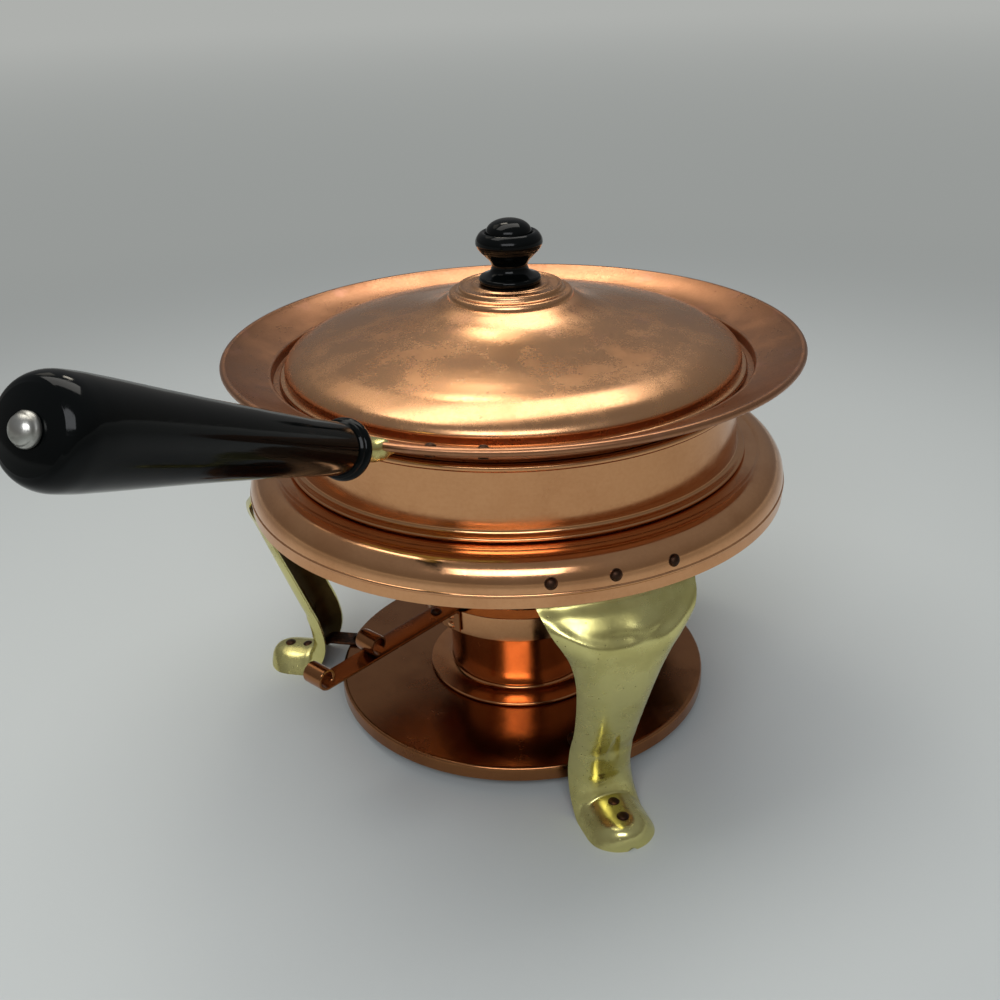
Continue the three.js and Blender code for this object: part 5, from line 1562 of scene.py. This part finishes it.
@dataclass
class Lid:
    """The lid: an edge bead, a low dome, a concave sweep up to stepped rings, and a turned knob."""

    radius: float = 123.7
    edge: float = 204.0
    bead: float = 1.3
    platform: float = 33.0
    platform_foot: float = 240.7
    top: float = 247.7
    gauge: float = 1.2
    knob_foot: float = 247.8
    knob_height: float = 32.7
    knob_radius: float = 17.4
    dome_shares: tuple[tuple[float, float], ...] = (
        # place from the platform's edge to the lid's, height from the edge to the platform
        (0.97, 0.0), (0.968, 0.05), (0.965, 0.13), (0.93, 0.25), (0.82, 0.41), (0.68, 0.507), (0.54, 0.588),
        (0.35, 0.685), (0.2, 0.775), (0.1, 0.868), (0.03, 0.97),
    )
    ring_shares: tuple[tuple[float, float], ...] = (
        # radius, share of the platform's height
        (33.1, 0.0), (32.8, 0.22), (32.0, 0.42), (31.0, 0.47), (28.9, 0.47), (28.1, 0.55), (27.6, 0.8),
        (26.9, 0.9), (25.9, 0.88), (24.8, 0.78), (21.5, 0.8), (20.3, 0.86), (19.8, 0.95), (18.8, 1.0),
        (17.6, 0.985),
    )
    knob_shares: tuple[tuple[float, float], ...] = (
        # share of the knob's widest radius and of its height
        (0.88, 0.11), (0.72, 0.14), (0.59, 0.19), (0.54, 0.275), (0.59, 0.345), (0.74, 0.43), (0.88, 0.505),
    )
    bulb_shares: tuple[tuple[float, float], ...] = (
        (0.965, 0.575), (0.995, 0.608), (1.0, 0.64), (0.985, 0.69), (0.94, 0.738), (0.87, 0.783), (0.8, 0.802),
        (0.75, 0.797),
    )
    cap_shares: tuple[tuple[float, float], ...] = (
        (0.688, 0.778), (0.67, 0.83), (0.6, 0.893), (0.45, 0.952), (0.25, 0.988), (0.06, 0.999),
    )

    def dome(self) -> Line:
        """Gives the outer line of the lid.

        Returns:
            The line, from the edge bead to the hole for the screw.
        """
        foot = self.edge + 2 * self.bead
        sweep = flowing([
            (self.platform + (self.radius - self.platform) * out, foot + (self.platform_foot - foot) * up)
            for out, up in self.dome_shares], 6)
        rise = self.top - self.platform_foot
        rings = eased([(radius, self.platform_foot + share * rise) for radius, share in self.ring_shares], 0.5, 4)
        return [*sweep, *rings, (2.6, self.top)]

    def knob_line(self, *shares: tuple[float, float]) -> Line:
        """Scales shares of the knob's widest radius and height to its size."""
        return [(out * self.knob_radius, self.knob_foot + up * self.knob_height) for out, up in shares]

    def knob(self) -> Form:
        """Gives the knob: a flat base, a waist, a broad bead with a groove under it, and a small cap.

        Returns:
            The knob in place.
        """
        roll = [(0.875 + 0.06 * math.cos(a), 0.055 + 0.05 * math.sin(a)) for a in np.linspace(-1.3, 1.45, 9)]
        base = self.knob_line((0.87, 0.0), *roll)
        flare = flowing(self.knob_line(*self.knob_shares), 6)
        groove = self.knob_line((0.9, 0.535), (0.93, 0.54), (0.945, 0.55))
        bulb = flowing(self.knob_line(*self.bulb_shares), 5)
        seam = self.knob_line((0.715, 0.783), (0.7, 0.765), (0.69, 0.768))
        cap = flowing(self.knob_line(*self.cap_shares), 4)
        depth = self.knob_foot + 13.4
        bore = [(0, depth), (2.6, depth), (2.6, self.knob_foot)]
        tip = (0, self.knob_foot + self.knob_height)
        return Form.spun([*bore, *base, *flare, *groove, *bulb, *seam, *cap, tip], 96)

    def build(self) -> None:
        """Fits the lid, the knob, the washer and the screw."""
        dome = self.dome()
        bead = arc(self.radius - self.bead, self.edge + self.bead, self.bead, -125, 78, 12)
        outline = [*bead, *dome, *beside(dome, self.gauge)[::-1]]
        Piece("lid_spun", Form.spun(outline, 256), SATIN, Body.LID, Slot.SATIN, ("lid",), 40).fit()
        Piece("knob_turned", self.knob(), PHENOLIC, Body.LID, Slot.PHENOLIC, ("knob",), 45).fit()
        low = self.top - self.gauge
        washer = eased([(2.6, low - 1.3), (8.0, low - 1.3), (8.0, low - 0.3), (2.6, low - 0.3)], 0.3, 2, True)
        Piece("washer_stamped", Form.spun(washer, 48), STEEL, Body.LID, Slot.STEEL, ("knob_washer",), 40).fit()
        head = low - 1.6
        tip = self.knob_foot + 13.0
        screw = [(0, head - 2.4), (0.9, head - 2.4), *arc(2.2, head - 0.6, 1.8, -80, 0, 6), (4.3, head - 0.5),
                 (4.3, head), (2.3, head), (2.3, tip), (0, tip)]
        Piece("screw_turned", Form.spun(screw, 32), STEEL, Body.LID, Slot.STEEL, ("knob_screw",), 40).fit()


# ---- Burner ----


@dataclass
class Burner:
    """The spirit burner: cup, flared foot, gallery with a deep skirt, wool, gauze and long strap."""

    bottom: float = 17.3
    radius: float = 41.2
    rim: float = 75.0
    foot_radius: float = 54.5
    foot_height: float = 5.2
    gallery: float = 56.5
    gallery_top: float = 76.5
    skirt: float = 14.5
    mouth: float = 33.0
    strap_gauge: float = 1.5
    strap_width: float = 12.5
    strap_bottom: float = 76.5
    strap_reach: float = 151.0
    curl: float = 6.6
    tab: float = 14.0
    pivot: float = 69.0

    def scroll(self, reach: float, height: float) -> Line:
        """Gives the line of a strap's curled end, which tightens as it curls.

        Args:
            reach: Radius where the curl starts.
            height: Height of the strap there.

        Returns:
            The line.
        """
        curl: Line = []
        for share in np.linspace(0, 1, 57):
            size, turn = self.curl * (1 - 0.4 * share), math.radians(320 * share - 90)
            curl.append((reach + size * math.cos(turn), height + self.curl + size * math.sin(turn)))
        return curl

    def pin_hole(self) -> Form:
        """Gives the cutter for the pivot's hole in both straps."""
        return Form.spun([(0, 70.0), (1.9, 70.0), (1.9, 84.0), (0, 84.0)], 32).moved(placed(0, self.pivot, 0))

    def build_shell(self) -> None:
        """Fits the cup, the foot and the gallery."""
        out, bottom, rim = self.radius, self.bottom, self.rim
        inside, lip = out - 1.0, out + 3.3
        cup = eased([
            (0, bottom), (inside, bottom), (out, bottom + 1.0), (out, rim - 1.0), (lip, rim - 1.0), (lip, rim),
            (inside, rim), (inside, bottom + 1.0), (0, bottom + 1.0)], 0.45)
        wall, width, rise = out + 0.25, self.foot_radius - out - 0.25 - 0.9, self.foot_height - 2.0
        flare = [(self.foot_radius - 0.5 - width * math.sin(a), bottom + 2.0 + rise * (1 - math.cos(a)))
                 for a in np.linspace(0, math.pi / 2, 14)]
        roll = arc(self.foot_radius - 1.1, bottom + 1.1, 1.1, -90, 60, 8)
        foot = [(wall, bottom), *roll, *flare, (wall, bottom + self.foot_height)]
        top, low, edge, inner = self.gallery_top, self.gallery_top - self.skirt, self.gallery, self.gallery - 1.2
        gallery = eased([(self.mouth, top - 1.2), (inner, top - 1.2), (inner, low), (edge, low), (edge, top),
                         (self.mouth, top)], 0.55, 4, True)
        for word, line, finish in (("cup", cup, HEATED), ("foot", foot, HEATED), ("gallery", gallery, BUFFED_SHADE_DIMMED)):
            Piece(f"{word}_spun", Form.spun(line, 192), finish, Body.BURNER, Slot.POLISHED,
                  (f"burner_{word}",), 40).fit()

    def build_filling(self) -> None:
        """Fits the wool and the gauze in the cup."""
        low, top = self.bottom + 1.3, self.bottom + 1.3 + 38.0
        wool = eased([(0, low), (39.9, low), (39.9, top), (0, top)], 2.0, 4)
        form = Form.spun([*wool[:-1], (30, top), (20, top), (10, top), (0, top)], 96)
        x, y, z = form.points.T
        tuft = 0.35 * (np.sin(x * 1.7 + 3 * np.sin(y * 0.9)) + np.sin(y * 1.9 + 2 * np.sin(x * 1.1)) - 2)
        form.points[:, 2] += np.where(z > low + 37.5, tuft, 0)
        Piece("wool_packed", form, WOOL, Body.BURNER, Slot.WOOL, ("burner_wool",), 60).fit()
        high = low + 38.3
        gauze = [(radius, high + up) for radius, up in (
            (0, 0.2), (20, 0.15), (39.2, 0), (39.9, 0.3), (39.2, 0.8), (20, 1.05), (0, 1.2))]
        Piece("gauze_woven", Form.spun(gauze, 128), GAUZE, Body.BURNER, Slot.STEEL, ("burner_gauze",), 60).fit()

    def build_strap(self) -> None:
        """Fits the long strap, its rivets and the snuffer's pivot."""
        gauge, low = self.strap_gauge, self.strap_bottom
        outside = self.gallery + 0.1 + gauge
        bend = eased([(outside, low - 3.0), (outside, low), (outside + 3.2, low)], 2.6, 6)
        line = [(outside, self.gallery_top + 1.5 - self.tab), *bend, *self.scroll(self.strap_reach, low)]
        turn = placed(STRAP_AZIMUTH, 0, 0)
        strap = Form.strap(line, gauge, self.strap_width, False, False).moved(turn)
        Piece("strap_long", strap, AGED_AND_SHADED, Body.BURNER, Slot.POLISHED, ("burner_strap",), 30,
              holes=(self.pin_hole().moved(turn),)).fit()
        pin = placed(STRAP_AZIMUTH, self.pivot, 79.95)
        Rivet().fit("pivot_domed", "snuffer_pivot", Body.BURNER, pin, 2 * gauge + 0.5)
        for i, share in enumerate((0.4, 0.82), 1):
            frame = placed(STRAP_AZIMUTH, outside, low + gauge - share * self.tab, 90)
            node = f"strap_rivet_{i}"
            small = Rivet(head=2.4, rise=1.3, tail=1.9)
            small.fit(f"{node}_domed", node, Body.BURNER, frame, gauge + 1.3, POLISHED)

    def build(self) -> None:
        """Fits the whole burner."""
        self.build_shell()
        self.build_filling()
        self.build_strap()


@dataclass
class Snuffer:
    """The snuffer: a disc under a short strap that swings about the burner's pivot."""

    radius: float = 46.0
    bottom: float = 76.8
    gauge: float = 1.2
    strap_bottom: float = 78.3
    reach: float = 116.0
    burner: Burner = field(default_factory=Burner)

    def build(self) -> None:
        """Fits the disc, the strap and the rivet between them."""
        low, top, edge = self.bottom, self.bottom + self.gauge, self.radius
        line = [(0, top), (30, top), (38.6, top - 0.05), (39.3, top - 0.3), (40.0, top - 0.05), (45.4, top - 0.1),
                (edge, top - 0.5), (edge, low + 0.1), (45.6, low), (0, low)]
        Piece("disc_spun", Form.spun(line, 160), POLISHED, Body.SNUFFER, Slot.POLISHED, ("snuffer_disc",),
              40).fit()
        gauge, width, height = self.burner.strap_gauge, self.burner.strap_width, self.strap_bottom
        line = [(-width / 2, height), (60, height), *self.burner.scroll(self.reach, height)]
        turn = placed(STRAP_AZIMUTH, 0, 0)
        Piece("strap_short", Form.strap(line, gauge, width, True, False).moved(turn), AGED_AND_SHADED, Body.SNUFFER,
              Slot.POLISHED, ("snuffer_strap",), 30, holes=(self.burner.pin_hole().moved(turn),)).fit()
        frame = placed(STRAP_AZIMUTH, 0, height + gauge)
        flush = Rivet(tail=2.4, tail_rise=0.05)
        flush.fit("snuffer_rivet_domed", "snuffer_rivet", Body.SNUFFER, frame, height + gauge - low - 0.1)


# ---- Studio ----


@dataclass(frozen=True)
class Lamp:
    """A soft rectangular lamp that faces the dish."""

    name: str
    place: tuple[float, float, float]  # in metres
    size: tuple[float, float]  # width and height in metres
    watts: float
    colour: str

    def hang(self) -> None:
        """Hangs the lamp."""
        light = bpy.data.lights.new(self.name, "AREA")
        light.shape, light.size, light.size_y = "RECTANGLE", *self.size
        light.energy, light.color = self.watts, linear(self.colour)[:3]
        holder = bpy.data.objects.new(self.name, light)
        holder.location = self.place
        holder.rotation_euler = (-Vector(self.place)).to_track_quat("-Z", "Y").to_euler()
        bpy.context.scene.collection.objects.link(holder)


@dataclass
class Studio:
    """A pale paper floor, soft lamps above and in front, and the camera."""

    focal_mm: float = 41.4
    eye: tuple[float, float, float] = (0.0, -0.5889, 0.2518)
    pitch: float = 0.4514  # radians below level
    yaw: float = -0.0161
    roll: float = -0.0370
    floor_reaches: tuple[float, ...] = (0.3, 0.8, 2.0, 6.0, 20.0, 60.0)  # in metres
    floor_steps: int = 96
    low_sky: str = "#706E6B"
    high_sky: str = "#85878A"
    lamps: tuple[Lamp, ...] = (
        Lamp("lamp_ceiling", (-0.1, 0.18, 1.15), (1.5, 0.55), 9.8, "#FFFCF5"),
        Lamp("lamp_back", (-0.09, 0.36, 0.64), (0.14, 0.1), 0.4, "#FFF6E4"),
        Lamp("lamp_front", (-0.1, -1.3, 0.95), (1.1, 0.5), 10.0, "#F8FBFF"),
        Lamp("lamp_side", (-0.59, 0.5, 0.92), (0.5, 0.3), 0.4, "#FFF6E4"),
    )

    def floor(self) -> None:
        """Lays the round sheet of paper under the dish, wide enough to reach the horizon."""
        table, count = -PAN_FLOOR * MM, self.floor_steps
        turns = [math.tau * i / count for i in range(count)]
        points = [(0.0, 0.0, table)]
        points += [(r * math.cos(a), r * math.sin(a), table) for r in self.floor_reaches for a in turns]
        faces: list[tuple[int, ...]] = [(0, 1 + i, 1 + (i + 1) % count) for i in range(count)]
        for ring in range(len(self.floor_reaches) - 1):
            inner, outer = 1 + count * ring, 1 + count * (ring + 1)
            faces += [(inner + i, outer + i, outer + (i + 1) % count, inner + (i + 1) % count)
                      for i in range(count)]
        mesh = bpy.data.meshes.new("paper_floor")
        mesh.from_pydata(points, [], faces)
        mesh.materials.append(PAPER.material())
        paper = bpy.data.objects.new("paper_floor", mesh)
        bpy.context.scene.collection.objects.link(paper)

    def sky(self) -> None:
        """Gives the room's even light, darker below than above."""
        world = bpy.data.worlds.new("room")
        bpy.context.scene.world = world
        world.use_nodes = True
        tree = world.node_tree
        tree.nodes.clear()
        way = add_node(tree, "ShaderNodeTexCoord")
        parts = add_node(tree, "ShaderNodeSeparateXYZ", None, {0: way.outputs["Generated"]})
        level = add_node(tree, "ShaderNodeMapRange", {"interpolation_type": "SMOOTHSTEP"},
                         {"Value": parts.outputs[2], "From Min": -0.15, "From Max": 0.7})
        colour = add_node(tree, "ShaderNodeMix", {"data_type": "RGBA"},
                          {0: level.outputs[0], 6: linear(self.low_sky), 7: linear(self.high_sky)})
        glow = add_node(tree, "ShaderNodeBackground", None, {0: colour.outputs[2], 1: 1.0})
        add_node(tree, "ShaderNodeOutputWorld", None, {"Surface": glow.outputs[0]})

    def camera(self) -> None:
        """Sets the camera where the photograph was taken from."""
        level, fall = math.cos(self.pitch), math.sin(self.pitch)
        ahead = Vector((math.sin(self.yaw) * level, math.cos(self.yaw) * level, -fall))
        right = ahead.cross(Vector((0, 0, 1))).normalized()
        up = right.cross(ahead)
        side = right * math.cos(self.roll) + up * math.sin(self.roll)
        top = up * math.cos(self.roll) - right * math.sin(self.roll)
        lens = bpy.data.cameras.new("camera")
        lens.lens, lens.sensor_width, lens.sensor_fit = self.focal_mm, 36.0, "HORIZONTAL"
        lens.clip_start = 0.01
        holder = bpy.data.objects.new("camera", lens)
        turn = Matrix((side, top, -ahead)).transposed().to_4x4()
        holder.matrix_world = Matrix.Translation(self.eye) @ turn
        bpy.context.scene.collection.objects.link(holder)
        bpy.context.scene.camera = holder

    def build(self) -> None:
        """Sets up the whole studio."""
        bpy.context.scene.view_settings.view_transform = "Standard"
        self.floor()
        for lamp in self.lamps:
            lamp.hang()
        self.sky()
        self.camera()


def main() -> None:
    """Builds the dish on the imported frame, and the studio round it."""
    logging.basicConfig(level=logging.INFO, format="%(message)s")
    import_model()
    Studio().build()
    legs = [CabrioleLeg(leg) for leg in Leg]
    for part in (StandRing(), *legs, TrayAndArms(), WaterPan(), FoodPan(), Handle(), Lid(), Burner(), Snuffer()):
        part.build()
        LOG.info("%s done", type(part).__name__)


if __name__ == "__main__":
    main()
